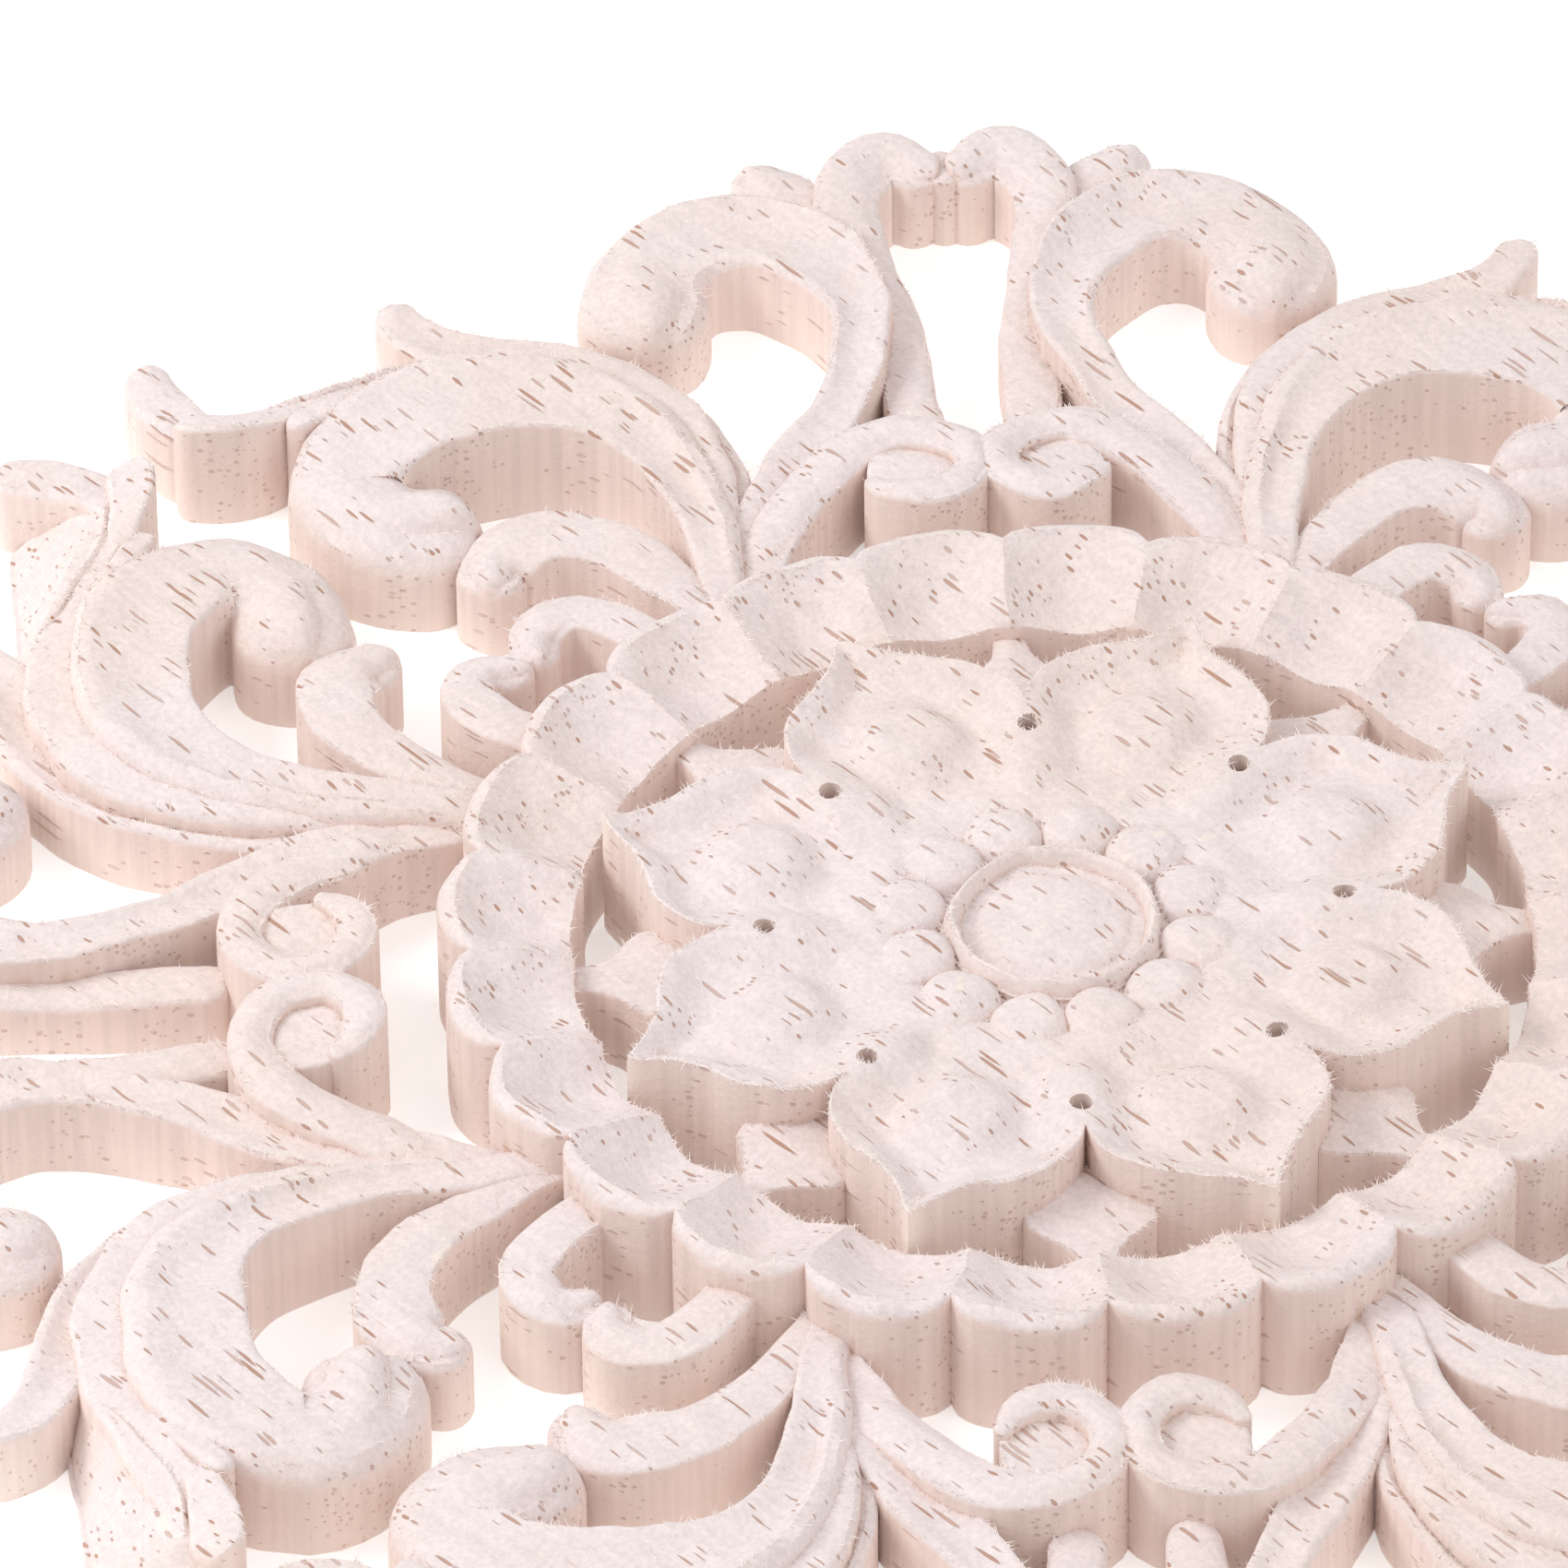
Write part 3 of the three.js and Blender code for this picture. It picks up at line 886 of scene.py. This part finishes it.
@dataclass
class Carving:
    """The whole carving: ring, flower and scrollwork joined into one skin with a flat back."""

    ring: ScallopRing = ScallopRing()
    flower: Flower = Flower()
    boss: Boss = Boss()
    scrollwork: Scrollwork = Scrollwork()
    pits: Pits = Pits()
    slab_depth: float = 1.0

    def build(self) -> bpy.types.Object:
        """Joins all pieces, drills the pits and cuts the back flat.

        Returns:
            The finished board, still without a material.
        """
        base = self.ring.shell().to_object("carved_board")
        shells = [self.flower.shell(), self.boss.shell(), *self.scrollwork.groups()]
        tools = [shell.to_object(f"tool_{i}") for i, shell in enumerate(shells)]
        for tool in tools:
            self.boolean(base, tool, "UNION")
        cutters = [self.pits.shell().to_object("tool_pits"), self.slab()]
        for cutter in cutters:
            self.boolean(base, cutter, "DIFFERENCE")
        graph = bpy.context.evaluated_depsgraph_get()
        joined = bpy.data.meshes.new_from_object(base.evaluated_get(graph))
        base.modifiers.clear()
        base.data = joined
        for tool in [*tools, *cutters]:
            bpy.data.objects.remove(tool)
        return base

    def boolean(self, base: bpy.types.Object, tool: bpy.types.Object, operation: str) -> None:
        """Adds one join or cut to the board.

        Args:
            base: The board.
            tool: What is joined to it or cut from it.
            operation: UNION or DIFFERENCE.
        """
        modifier = base.modifiers.new(tool.name, "BOOLEAN")
        modifier.object = tool
        modifier.operation = operation
        modifier.solver = "MANIFOLD"

    def slab(self) -> bpy.types.Object:
        """A slab under the board that cuts its back flat.

        Returns:
            The slab as an object.
        """
        side = 2 * REACH
        corners = np.array([[-side, -side], [side, -side], [side, side], [-side, side]])
        levels = [np.full((4, 1), level) for level in (-self.slab_depth, 0.0)]
        rings = [np.concatenate([corners, level], axis=1) for level in levels]
        return loft(np.stack(rings)).to_object("tool_slab")


@dataclass(frozen=True)
class HandWork:
    """Small unevenness of the cut: the walls and tops wander a little from their true lines."""

    amount: float = 0.0045
    lift: float = 0.004
    full_lift: float = 0.3
    still_rim: float = 0.2
    waves: int = 14
    pitch: float = 0.32
    pitch_range: tuple[float, float] = (0.5, 2.0)
    seed: int = 7

    def apply(self, obj: bpy.types.Object) -> None:
        """Shifts the vertices by a sum of sine waves in random directions.

        The shift in plan depends on x and y alone, so that walls stay upright, and the lift
        grows from nothing at the back to its full amount at the top. Both fade out towards the
        outermost edges, so that the board keeps its size.

        Args:
            obj: The board, which is changed in place.
        """
        rng = np.random.default_rng(self.seed)
        mesh = obj.data
        moved = read(mesh.vertices, "co", 3)
        places = moved / UNIT
        angle = rng.uniform(0, 2 * math.pi, (3, self.waves))
        phase = rng.uniform(0, 2 * math.pi, (3, self.waves))
        length = self.pitch * rng.uniform(*self.pitch_range, (3, self.waves))
        turn = 2 * math.pi / length
        even = math.sqrt(2 / self.waves)
        near_rim = np.clip((REACH - np.abs(places[:, :2]).max(axis=1)) / self.still_rim, 0, 1)
        rise = np.clip(places[:, 2] / self.full_lift, 0, 1)
        for axis, size in enumerate((self.amount, self.amount, self.lift * rise)):
            heading = np.stack([np.cos(angle[axis]), np.sin(angle[axis])])
            wave = np.sin((places[:, :2] @ heading) * turn[axis] + phase[axis])
            moved[:, axis] += wave.sum(axis=1) * even * size * near_rim * UNIT
        mesh.vertices.foreach_set("co", moved.ravel())
        mesh.update()


@dataclass(frozen=True)
class Fibres:
    """Torn fibres along the cut edges: thin three-sided spikes, most of them near the grain."""

    count: int = 20000
    length: tuple[float, float] = (0.012, 0.055)
    shortened: float = 0.4
    width: float = 0.003
    rooted: float = 0.25
    lowest: float = 0.12
    tip_floor: float = 0.05
    margin: float = 0.004
    along_grain: float = 0.7
    scatter: float = 0.45
    bare_share: float = 0.25
    clumps: tuple[float, float] = (3.1, 2.3)
    clump_shift: tuple[float, float] = (1.7, 0.4)
    corner_angles: tuple[float, ...] = (0.0, 2.1, 4.2)
    faces: tuple[tuple[int, ...], ...] = ((0, 1, 3), (1, 2, 3), (2, 0, 3), (0, 2, 1))
    seed: int = 11

    def build(self, board: bpy.types.Object) -> bpy.types.Object:
        """Grows the fibres on the board's sharp upper edges.

        Args:
            board: The finished carving.

        Returns:
            One object that holds all fibres.
        """
        rng = np.random.default_rng(self.seed)
        root, out = self.roots(board.data, rng)
        corners = self.spikes(root, out, rng)
        index = np.arange(self.count)[:, None] * corners.shape[1]
        faces = np.concatenate([index + np.array(face) for face in self.faces])
        mesh = bpy.data.meshes.new("edge_fibres")
        mesh.from_pydata((corners.reshape(-1, 3) * UNIT).tolist(), [], faces.tolist())
        obj = bpy.data.objects.new("edge_fibres", mesh)
        bpy.context.scene.collection.objects.link(obj)
        return obj

    def roots(self, mesh: bpy.types.Mesh, rng: np.random.Generator) -> tuple[Array, Array]:
        """Picks places on the sharp edges, except low and steep ones.

        The chance of an edge is its length times the sum of a bare share and a clump, which is
        one plus the product of a sine of x and a sine of y.

        Args:
            mesh: The board's mesh.
            rng: The source of random numbers.

        Returns:
            The places, and the surface normal at each.
        """
        places = read(mesh.vertices, "co", 3) / UNIT
        normals = read(mesh.vertices, "normal", 3)
        ends = read(mesh.edges, "vertices", 2, int)
        sharp = read(mesh.edges, "use_edge_sharp", 1, bool)[:, 0]
        first, second = places[ends[:, 0]], places[ends[:, 1]]
        run = np.linalg.norm(second - first, axis=1)
        level = np.abs((second - first)[:, 2]) < run / 2
        usable = sharp & level & (first[:, 2] > self.lowest) & (second[:, 2] > self.lowest)
        sines = np.sin(first[:, :2] * self.clumps + self.clump_shift)
        clump = 1 + sines[:, 0] * sines[:, 1]
        weight = np.where(usable, run * (self.bare_share + clump), 0)
        picked = rng.choice(len(run), self.count, p=weight / weight.sum())
        t = rng.uniform(0, 1, (self.count, 1))
        return first[picked] * (1 - t) + second[picked] * t, normals[ends[picked, 0]]

    def spikes(self, root: Array, out: Array, rng: np.random.Generator) -> Array:
        """The corners of the fibres, each a thin three-sided spike.

        A fibre leans by the sum of the surface normal, the grain to one side or the other, and
        a random vector.

        Args:
            root: Where each fibre leaves the wood.
            out: The surface normal there.
            rng: The source of random numbers.

        Returns:
            Four points for each fibre: three round its foot, a little inside the wood, and the
            tip, kept inside the board's box.
        """
        sign = rng.choice([-1.0, 1.0], self.count)
        grain = np.array([math.cos(GRAIN), math.sin(GRAIN), 0.0]) * sign[:, None]
        scatter = rng.normal(0, self.scatter, (self.count, 3))
        lean = unit(out + self.along_grain * grain + scatter)
        size = rng.uniform(*self.length, (self.count, 1))
        size = size * rng.uniform(self.shortened, 1, (self.count, 1))
        side = unit(np.cross(lean, rng.normal(0, 1, (self.count, 3))))
        third = np.cross(lean, side)
        foot = root - self.rooted * size * lean
        corners = [
            foot + self.width * (math.cos(angle) * side + math.sin(angle) * third)
            for angle in self.corner_angles
        ]
        limit = np.array([REACH, REACH, THICKNESS / UNIT]) - self.margin
        tip = np.clip(root + size * lean, [-limit[0], -limit[1], self.tip_floor], limit)
        return np.stack([*corners, tip], axis=1)


def shade_by_angle(obj: bpy.types.Object, angle: float) -> None:
    """Smooths the faces and keeps edges sharper than an angle crisp.

    Args:
        obj: The piece, which is changed in place.
        angle: The least angle of a crisp edge, in radians.
    """
    mesh = obj.data
    mesh.polygons.foreach_set("use_smooth", np.ones(len(mesh.polygons), bool))
    mesh.set_sharp_from_angle(angle=angle)
    mesh.update()


class Nodes:
    """A short way to add and link shader nodes in one tree."""

    def __init__(self, tree: bpy.types.NodeTree) -> None:
        """Keeps the tree to add to."""
        self.tree = tree

    def add(self, kind: str, **settings: object) -> bpy.types.Node:
        """Adds a node.

        Args:
            kind: The node's type.
            settings: Values for the node's properties, by name.

        Returns:
            The new node.
        """
        node = self.tree.nodes.new(kind)
        for name, value in settings.items():
            setattr(node, name, value)
        return node

    def feed(self, socket: bpy.types.NodeSocket, value: Value) -> None:
        """Links another node's socket to this one, or sets its number or its opaque colour.

        Args:
            socket: The socket to feed.
            value: What goes in.
        """
        if isinstance(value, bpy.types.NodeSocket):
            self.tree.links.new(value, socket)
        elif isinstance(value, tuple):
            socket.default_value = (*value, 1.0)
        else:
            socket.default_value = value

    def math(self, operation: str, a: Value, b: Value) -> bpy.types.NodeSocket:
        """A sum, product or other operation on two numbers.

        Args:
            operation: Which operation.
            a: The first number.
            b: The second number.

        Returns:
            The result's socket.
        """
        node = self.add("ShaderNodeMath", operation=operation)
        self.feed(node.inputs[0], a)
        self.feed(node.inputs[1], b)
        return node.outputs[0]

    def times(self, a: Value, b: Value) -> bpy.types.NodeSocket:
        """The product of two numbers."""
        return self.math("MULTIPLY", a, b)

    def ramp(
        self, value: Value, low: Value, high: Value, to_low: float = 0.0, to_high: float = 1.0
    ) -> bpy.types.NodeSocket:
        """Maps a number smoothly from one range to another.

        Args:
            value: The number.
            low: Where the range starts.
            high: Where the range ends.
            to_low: What the start becomes, and all before it.
            to_high: What the end becomes, and all after it.

        Returns:
            The result's socket.
        """
        node = self.add("ShaderNodeMapRange", interpolation_type="SMOOTHSTEP")
        for index, item in enumerate((value, low, high, to_low, to_high)):
            self.feed(node.inputs[index], item)
        return node.outputs[0]

    def mix(self, share: Value, a: Value, b: Value, blend: str = "MIX") -> bpy.types.NodeSocket:
        """Mixes two colours.

        Args:
            share: How much of the second colour shows, from 0 to 1.
            a: The first colour.
            b: The second colour.
            blend: How they are mixed.

        Returns:
            The result's socket.
        """
        node = self.add("ShaderNodeMix", data_type="RGBA", blend_type=blend)
        self.feed(node.inputs[0], share)
        self.feed(node.inputs[6], a)
        self.feed(node.inputs[7], b)
        return node.outputs[2]

    def shaded(self, colour: Value, tone: Value) -> bpy.types.NodeSocket:
        """A colour times a number.

        Args:
            colour: The colour.
            tone: The number that each of its channels is multiplied by.

        Returns:
            The result's socket.
        """
        grey = self.add("ShaderNodeCombineColor")
        for socket in grey.inputs:
            self.feed(socket, tone)
        return self.mix(1.0, colour, grey.outputs[0], "MULTIPLY")

    def noise(
        self, vector: Value, scale: Value, detail: float = 2.0, rough: float = 0.5
    ) -> bpy.types.NodeSocket:
        """A soft noise from 0 to 1.

        Args:
            vector: Where the noise is read.
            scale: How many soft spots there are to a metre.
            detail: How many finer noises are added.
            rough: How strong the finer ones are.

        Returns:
            The noise's socket.
        """
        node = self.add("ShaderNodeTexNoise")
        given = {"Vector": vector, "Scale": scale, "Detail": detail, "Roughness": rough}
        for label, value in given.items():
            self.feed(node.inputs[label], value)
        return node.outputs["Fac"]

    def turned(self, vector: Value, angle: float) -> bpy.types.NodeSocket:
        """Turns a place about Z.

        Args:
            vector: The place.
            angle: The turn in radians.

        Returns:
            The turned place's socket.
        """
        spin = self.add("ShaderNodeMapping", vector_type="POINT")
        spin.inputs["Rotation"].default_value = (0.0, 0.0, angle)
        self.feed(spin.inputs["Vector"], vector)
        return spin.outputs[0]

    def stretched(self, vector: Value, scale: tuple[float, float, float]) -> bpy.types.NodeSocket:
        """Scales a place along each axis.

        Args:
            vector: The place.
            scale: The factors.

        Returns:
            The scaled place's socket.
        """
        size = self.add("ShaderNodeMapping", vector_type="POINT")
        size.inputs["Scale"].default_value = scale
        self.feed(size.inputs["Vector"], vector)
        return size.outputs[0]


def group(
    name: str, inputs: dict[str, float], outputs: tuple[str, ...]
) -> tuple[Nodes, bpy.types.Node, bpy.types.Node]:
    """Starts a shader node group that takes and gives numbers.

    Args:
        name: The group's name.
        inputs: Name to default.
        outputs: The names of what it gives.

    Returns:
        The group's nodes, its input node and its output node.
    """
    tree = bpy.data.node_groups.new(name, "ShaderNodeTree")
    for label, default in inputs.items():
        socket = tree.interface.new_socket(label, in_out="INPUT", socket_type="NodeSocketFloat")
        socket.default_value = default
    for label in outputs:
        tree.interface.new_socket(label, in_out="OUTPUT", socket_type="NodeSocketFloat")
    nodes = Nodes(tree)
    return nodes, nodes.add("NodeGroupInput"), nodes.add("NodeGroupOutput")


@dataclass(frozen=True)
class Pores:
    """Pores of the wood: cells to a metre across and along the grain, and how they are filled.

    The radius is a share of a cell, and the share is that of the cells that hold a pore.
    """

    across: float = 1250.0
    along: float = 105.0
    radius: float = 0.26
    share: float = 0.45

    def sockets(self) -> dict[str, float]:
        """The sizes by the names of the pore group's sockets."""
        return {label.capitalize(): value for label, value in asdict(self).items()}

    def placed(self, nodes: Nodes, tree: bpy.types.NodeTree) -> bpy.types.Node:
        """Puts the pore group into a material with these sizes.

        Args:
            nodes: The material's nodes.
            tree: The pore group.

        Returns:
            The group's node.
        """
        node = nodes.add("ShaderNodeGroup", node_tree=tree)
        for label, value in self.sockets().items():
            node.inputs[label].default_value = value
        return node


def pore_group() -> bpy.types.NodeTree:
    """Long thin cells along the grain, cut open by the surface.

    A cell pattern is stretched along the grain, and the middle of each cell, within a radius
    that differs from cell to cell, is a pore. A face along the grain shows dashes, and a wall
    across it shows dots.

    Returns:
        The group, which gives a mask of the pores and a random tone for each.
    """
    least_radius = 0.45
    dark_core = 0.7
    nodes, given, out = group("wood_pores", Pores().sockets(), ("Pore", "Tone"))
    place = nodes.add("ShaderNodeTexCoord").outputs["Object"]
    split = nodes.add("ShaderNodeSeparateXYZ")
    nodes.feed(split.inputs[0], nodes.turned(place, -GRAIN))
    merge = nodes.add("ShaderNodeCombineXYZ")
    for axis, label in enumerate(("Along", "Across", "Across")):
        nodes.feed(merge.inputs[axis], nodes.times(split.outputs[axis], given.outputs[label]))
    cells = nodes.add("ShaderNodeTexVoronoi", feature="F1")
    cells.inputs["Scale"].default_value = 1.0
    nodes.feed(cells.inputs["Vector"], merge.outputs[0])
    chance = nodes.add("ShaderNodeSeparateColor")
    nodes.feed(chance.inputs[0], cells.outputs["Color"])
    radius = nodes.times(given.outputs["Radius"], nodes.math("ADD", chance.outputs[1], least_radius))
    kept = nodes.math("LESS_THAN", chance.outputs[0], given.outputs["Share"])
    inside = nodes.ramp(cells.outputs["Distance"], radius, nodes.times(radius, dark_core))
    nodes.feed(out.inputs["Pore"], nodes.times(inside, kept))
    nodes.feed(out.inputs["Tone"], chance.outputs[2])
    return nodes.tree


def grain_group() -> bpy.types.NodeTree:
    """Soft bands along the grain, from noise drawn out in that direction, and wide clouds.

    Returns:
        The group, which gives both as numbers from 0 to 1.
    """
    drawn_out = 12.0
    cloud_scale = 26.0
    nodes, given, out = group("wood_grain", {"Scale": 60.0}, ("Band", "Cloud"))
    place = nodes.add("ShaderNodeTexCoord").outputs["Object"]
    drawn = nodes.stretched(nodes.turned(place, -GRAIN), (1.0, drawn_out, drawn_out))
    nodes.feed(out.inputs["Band"], nodes.noise(drawn, given.outputs["Scale"], detail=4.0))
    nodes.feed(out.inputs["Cloud"], nodes.noise(place, cloud_scale, detail=3.0))
    return nodes.tree


@dataclass(frozen=True)
class RawWood:
    """Pale unfinished wood with red-brown pores and walls streaked by the cutter.

    A range of two numbers is where a mask rises from 0 to 1. In a range of four, the last two
    are the values that it rises between.
    """

    face: Colour = (0.81, 0.715, 0.705)
    face_warm: Colour = (0.81, 0.69, 0.65)
    wall: Colour = (0.82, 0.68, 0.63)
    pore: Colour = (0.46, 0.24, 0.16)
    # Painted highlight for sharp edges, partly the cut edge's own paler tone.
    edge: Colour = (0.9, 0.78, 0.7)
    # Painted shade for creases, hollows and the feet of walls.
    crease_shade: Colour = (0.62, 0.4, 0.29)
    upward: Range = (0.15, 0.6)
    cloud: Range = (0.35, 0.7)
    band: Range = (0.35, 0.7, 0.97, 1.03)
    wool: Range = (0.3, 0.7, 0.93, 1.06)
    wool_scale: float = 1300.0
    streak: Range = (0.3, 0.7, 0.94, 1.04)
    streak_scale: tuple[float, float, float] = (900.0, 900.0, 26.0)
    edge_highlight_bend: Range = (0.53, 0.6)
    edge_highlight_share: float = 0.7
    crease_shade_bend: Range = (0.485, 0.42)
    crease_shade_share: float = 0.55
    pores: Pores = Pores()
    pore_tone: Range = (0.0, 1.0, 0.5, 0.9)
    wall_pores: Range = (0.0, 1.0, 0.5, 1.0)
    fine_pores: Pores = Pores(across=2600.0, along=200.0, radius=0.2, share=0.25)
    fine_share: float = 0.3
    nap_scale: float = 1100.0
    nap_height: float = 0.9
    bump_strength: float = 0.6
    bump_depth: float = 0.0003
    roughness: float = 0.72
    gloss: float = 0.25

    def material(self) -> bpy.types.Material:
        """The material, from the grain and pore groups and the way each face looks up.

        Returns:
            The finished material.
        """
        material = bpy.data.materials.new("raw_wood")
        material.use_nodes = True
        nodes = Nodes(material.node_tree)
        place = nodes.add("ShaderNodeTexCoord").outputs["Object"]
        geometry = nodes.add("ShaderNodeNewGeometry")
        facing = nodes.add("ShaderNodeSeparateXYZ")
        nodes.feed(facing.inputs[0], geometry.outputs["Normal"])
        up = nodes.ramp(facing.outputs[2], *self.upward)
        tree = pore_group()
        pores = self.pores.placed(nodes, tree)
        fine = self.fine_pores.placed(nodes, tree)

        colour = self.plain_wood(nodes, place, up)
        # Painted highlight on the edges and painted shade in the creases.
        colour = self.edge_highlight_and_crease_shade(nodes, colour, geometry.outputs["Pointiness"])
        share = nodes.times(pores.outputs["Pore"], nodes.ramp(pores.outputs["Tone"], *self.pore_tone))
        share = nodes.times(share, nodes.ramp(up, *self.wall_pores))
        colour = nodes.mix(share, colour, self.pore)
        share = nodes.times(fine.outputs["Pore"], nodes.times(up, self.fine_share))
        colour = nodes.mix(share, colour, self.pore)

        nap = nodes.noise(place, self.nap_scale, detail=4.0, rough=0.6)
        bump = nodes.add("ShaderNodeBump")
        bump.inputs["Strength"].default_value = self.bump_strength
        bump.inputs["Distance"].default_value = self.bump_depth
        height = nodes.math("SUBTRACT", nodes.times(nap, self.nap_height), pores.outputs["Pore"])
        nodes.feed(bump.inputs["Height"], height)

        shader = material.node_tree.nodes["Principled BSDF"]
        nodes.feed(shader.inputs["Base Color"], colour)
        nodes.feed(shader.inputs["Normal"], bump.outputs[0])
        shader.inputs["Roughness"].default_value = self.roughness
        shader.inputs["Specular IOR Level"].default_value = self.gloss
        return material

    def plain_wood(self, nodes: Nodes, place: Value, up: Value) -> bpy.types.NodeSocket:
        """The wood without pores: bands, clouds and a woolly nap on top, streaks on the walls.

        Args:
            nodes: The material's nodes.
            place: The place on the piece.
            up: 1 on the tops and 0 on the walls.

        Returns:
            The colour's socket.
        """
        grain = nodes.add("ShaderNodeGroup", node_tree=grain_group())
        face = nodes.mix(nodes.ramp(grain.outputs["Cloud"], *self.cloud), self.face, self.face_warm)
        wool = nodes.ramp(nodes.noise(place, self.wool_scale, detail=3.0, rough=0.7), *self.wool)
        band = nodes.ramp(grain.outputs["Band"], *self.band)
        face = nodes.shaded(face, nodes.times(band, wool))
        drawn = nodes.stretched(place, self.streak_scale)
        wall = nodes.shaded(self.wall, nodes.ramp(nodes.noise(drawn, 1.0), *self.streak))
        return nodes.mix(up, wall, face)

    def edge_highlight_and_crease_shade(self, nodes: Nodes, colour: Value, bend: Value) -> bpy.types.NodeSocket:
        """Painted highlight on the edges, partly their own paler tone, and painted shade in the
        creases.

        Args:
            nodes: The material's nodes.
            colour: The wood's colour.
            bend: How far the surface bends: a half where it is flat, more on an edge.

        Returns:
            The colour's socket.
        """
        # Painted highlight where the surface bends out, partly the edge's own paler tone.
        edge = nodes.times(nodes.ramp(bend, *self.edge_highlight_bend), self.edge_highlight_share)
        colour = nodes.mix(edge, colour, self.edge)
        # Painted shade where the surface bends in.
        crease_shade = nodes.times(nodes.ramp(bend, *self.crease_shade_bend), self.crease_shade_share)
        return nodes.mix(crease_shade, colour, self.crease_shade)


@dataclass(frozen=True)
class Matt:
    """A finish of one colour with hardly any gloss."""

    name: str
    colour: Colour
    roughness: float = 0.9
    gloss: float = 0.1
    glow: float = 0.0

    def material(self) -> bpy.types.Material:
        """The material, with a faint white glow where one is asked for.

        Returns:
            The finished material.
        """
        material = bpy.data.materials.new(self.name)
        material.use_nodes = True
        shader = material.node_tree.nodes["Principled BSDF"]
        shader.inputs["Base Color"].default_value = (*self.colour, 1.0)
        shader.inputs["Roughness"].default_value = self.roughness
        shader.inputs["Specular IOR Level"].default_value = self.gloss
        if self.glow:
            shader.inputs["Emission Color"].default_value = (1.0, 1.0, 1.0, 1.0)
            shader.inputs["Emission Strength"].default_value = self.glow
        return material


# The whitish fuzz of torn fibres.
TORN_FIBRE = Matt("torn_fibre", (0.9, 0.82, 0.79))


@dataclass(frozen=True)
class Lamp:
    """A square light that faces the middle of the board."""

    name: str
    place: tuple[float, float, float]
    side: float
    power: float

    def hang(self) -> None:
        """Adds the light to the scene."""
        lamp = bpy.data.lights.new(self.name, "AREA")
        lamp.size = self.side
        lamp.energy = self.power
        obj = bpy.data.objects.new(self.name, lamp)
        obj.location = self.place
        obj.rotation_mode = "QUATERNION"
        obj.rotation_quaternion = (-Vector(self.place)).to_track_quat("-Z", "Y")
        bpy.context.scene.collection.objects.link(obj)


@dataclass(frozen=True)
class Studio:
    """A plain pale floor, soft lights and the camera at the photograph's angle.

    The camera's distance, target and target height are in drawing units.
    """

    floor_side: float = 3.0
    floor_finish: Matt = Matt("floor", (0.93, 0.93, 0.93), glow=0.35)
    sky: float = 0.74
    lamps: tuple[Lamp, ...] = (
        Lamp("key", (-0.8, 0.1, 0.7), side=0.45, power=5.2),
        Lamp("fill", (0.8, -0.6, 0.9), side=1.0, power=3.2),
    )
    focal_px: float = 18840.6
    frame_px: float = 1700.0
    sensor_mm: float = 36.0
    elevation: float = 0.70598381
    azimuth: float = math.radians(4.154)
    roll: float = -0.01323950
    distance: float = 60.42
    target: tuple[float, float] = (-0.922706, 0.652880)
    target_height: float = 0.53
    clip: tuple[float, float] = (0.1, 20.0)

    def floor(self) -> bpy.types.Object:
        """A wide pale square under the board.

        Returns:
            The floor.
        """
        half = self.floor_side / 2
        corners = [(-half, -half, 0.0), (half, -half, 0.0), (half, half, 0.0), (-half, half, 0.0)]
        mesh = bpy.data.meshes.new("floor")
        mesh.from_pydata(corners, [], [(0, 1, 2, 3)])
        mesh.materials.append(self.floor_finish.material())
        floor = bpy.data.objects.new("floor", mesh)
        bpy.context.scene.collection.objects.link(floor)
        return floor

    def lights(self) -> None:
        """A bright sky all round, a key light from the left and a broad fill from the right."""
        world = bpy.data.worlds.new("studio")
        world.use_nodes = True
        sky = world.node_tree.nodes["Background"]
        sky.inputs["Color"].default_value = (1.0, 1.0, 1.0, 1.0)
        sky.inputs["Strength"].default_value = self.sky
        bpy.context.scene.world = world
        for lamp in self.lamps:
            lamp.hang()

    def camera(self) -> bpy.types.Object:
        """A very long lens, so that the carving is seen almost without perspective.

        The camera looks at the target from the elevation and azimuth, turned by the roll about
        its own axis. The target lies on the plane of the pits' rims.

        Returns:
            The camera, which becomes the scene's.
        """
        data = bpy.data.cameras.new("camera")
        data.sensor_width = self.sensor_mm
        data.lens = self.sensor_mm * self.focal_px / self.frame_px
        data.clip_start, data.clip_end = self.clip
        camera = bpy.data.objects.new("camera", data)
        bpy.context.scene.collection.objects.link(camera)
        c, s = math.cos(self.azimuth), math.sin(self.azimuth)
        to_plan = Matrix(((c, s, 0), (-s, c, 0), (0, 0, 1)))
        ce, se = math.cos(self.elevation), math.sin(self.elevation)
        right, up = Vector((1, 0, 0)), Vector((0, se, ce))
        back = Vector((0, -ce, se))
        cr, sr = math.cos(self.roll), math.sin(self.roll)
        right, up = cr * right + sr * up, -sr * right + cr * up
        place = Vector((*self.target, self.target_height)) + back * self.distance
        axes = [to_plan @ axis for axis in (right, up, back)]
        spot = to_plan @ place * UNIT
        rows = [(*(axis[i] for axis in axes), spot[i]) for i in range(3)]
        camera.matrix_world = Matrix([*rows, (0, 0, 0, 1)])
        bpy.context.scene.camera = camera
        return camera


def main() -> None:
    """Builds the carving, the wood, the floor, the lights and the camera."""
    logging.basicConfig(level=logging.INFO)
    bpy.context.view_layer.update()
    studio = Studio()
    studio.camera()
    studio.floor()
    studio.lights()
    bpy.context.scene.view_settings.view_transform = "Standard"
    board = Carving().build()
    HandWork().apply(board)
    shade_by_angle(board, SHARP_FROM)
    fibres = Fibres().build(board)
    board.data.materials.clear()
    board.data.materials.append(RawWood().material())
    fibres.data.materials.append(TORN_FIBRE.material())
    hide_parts("carved_rosette")
    for piece in (board, fibres):
        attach(piece, "root")
        LOG.info("%s: %d faces", piece.name, len(piece.data.polygons))


if __name__ == "__main__":
    main()
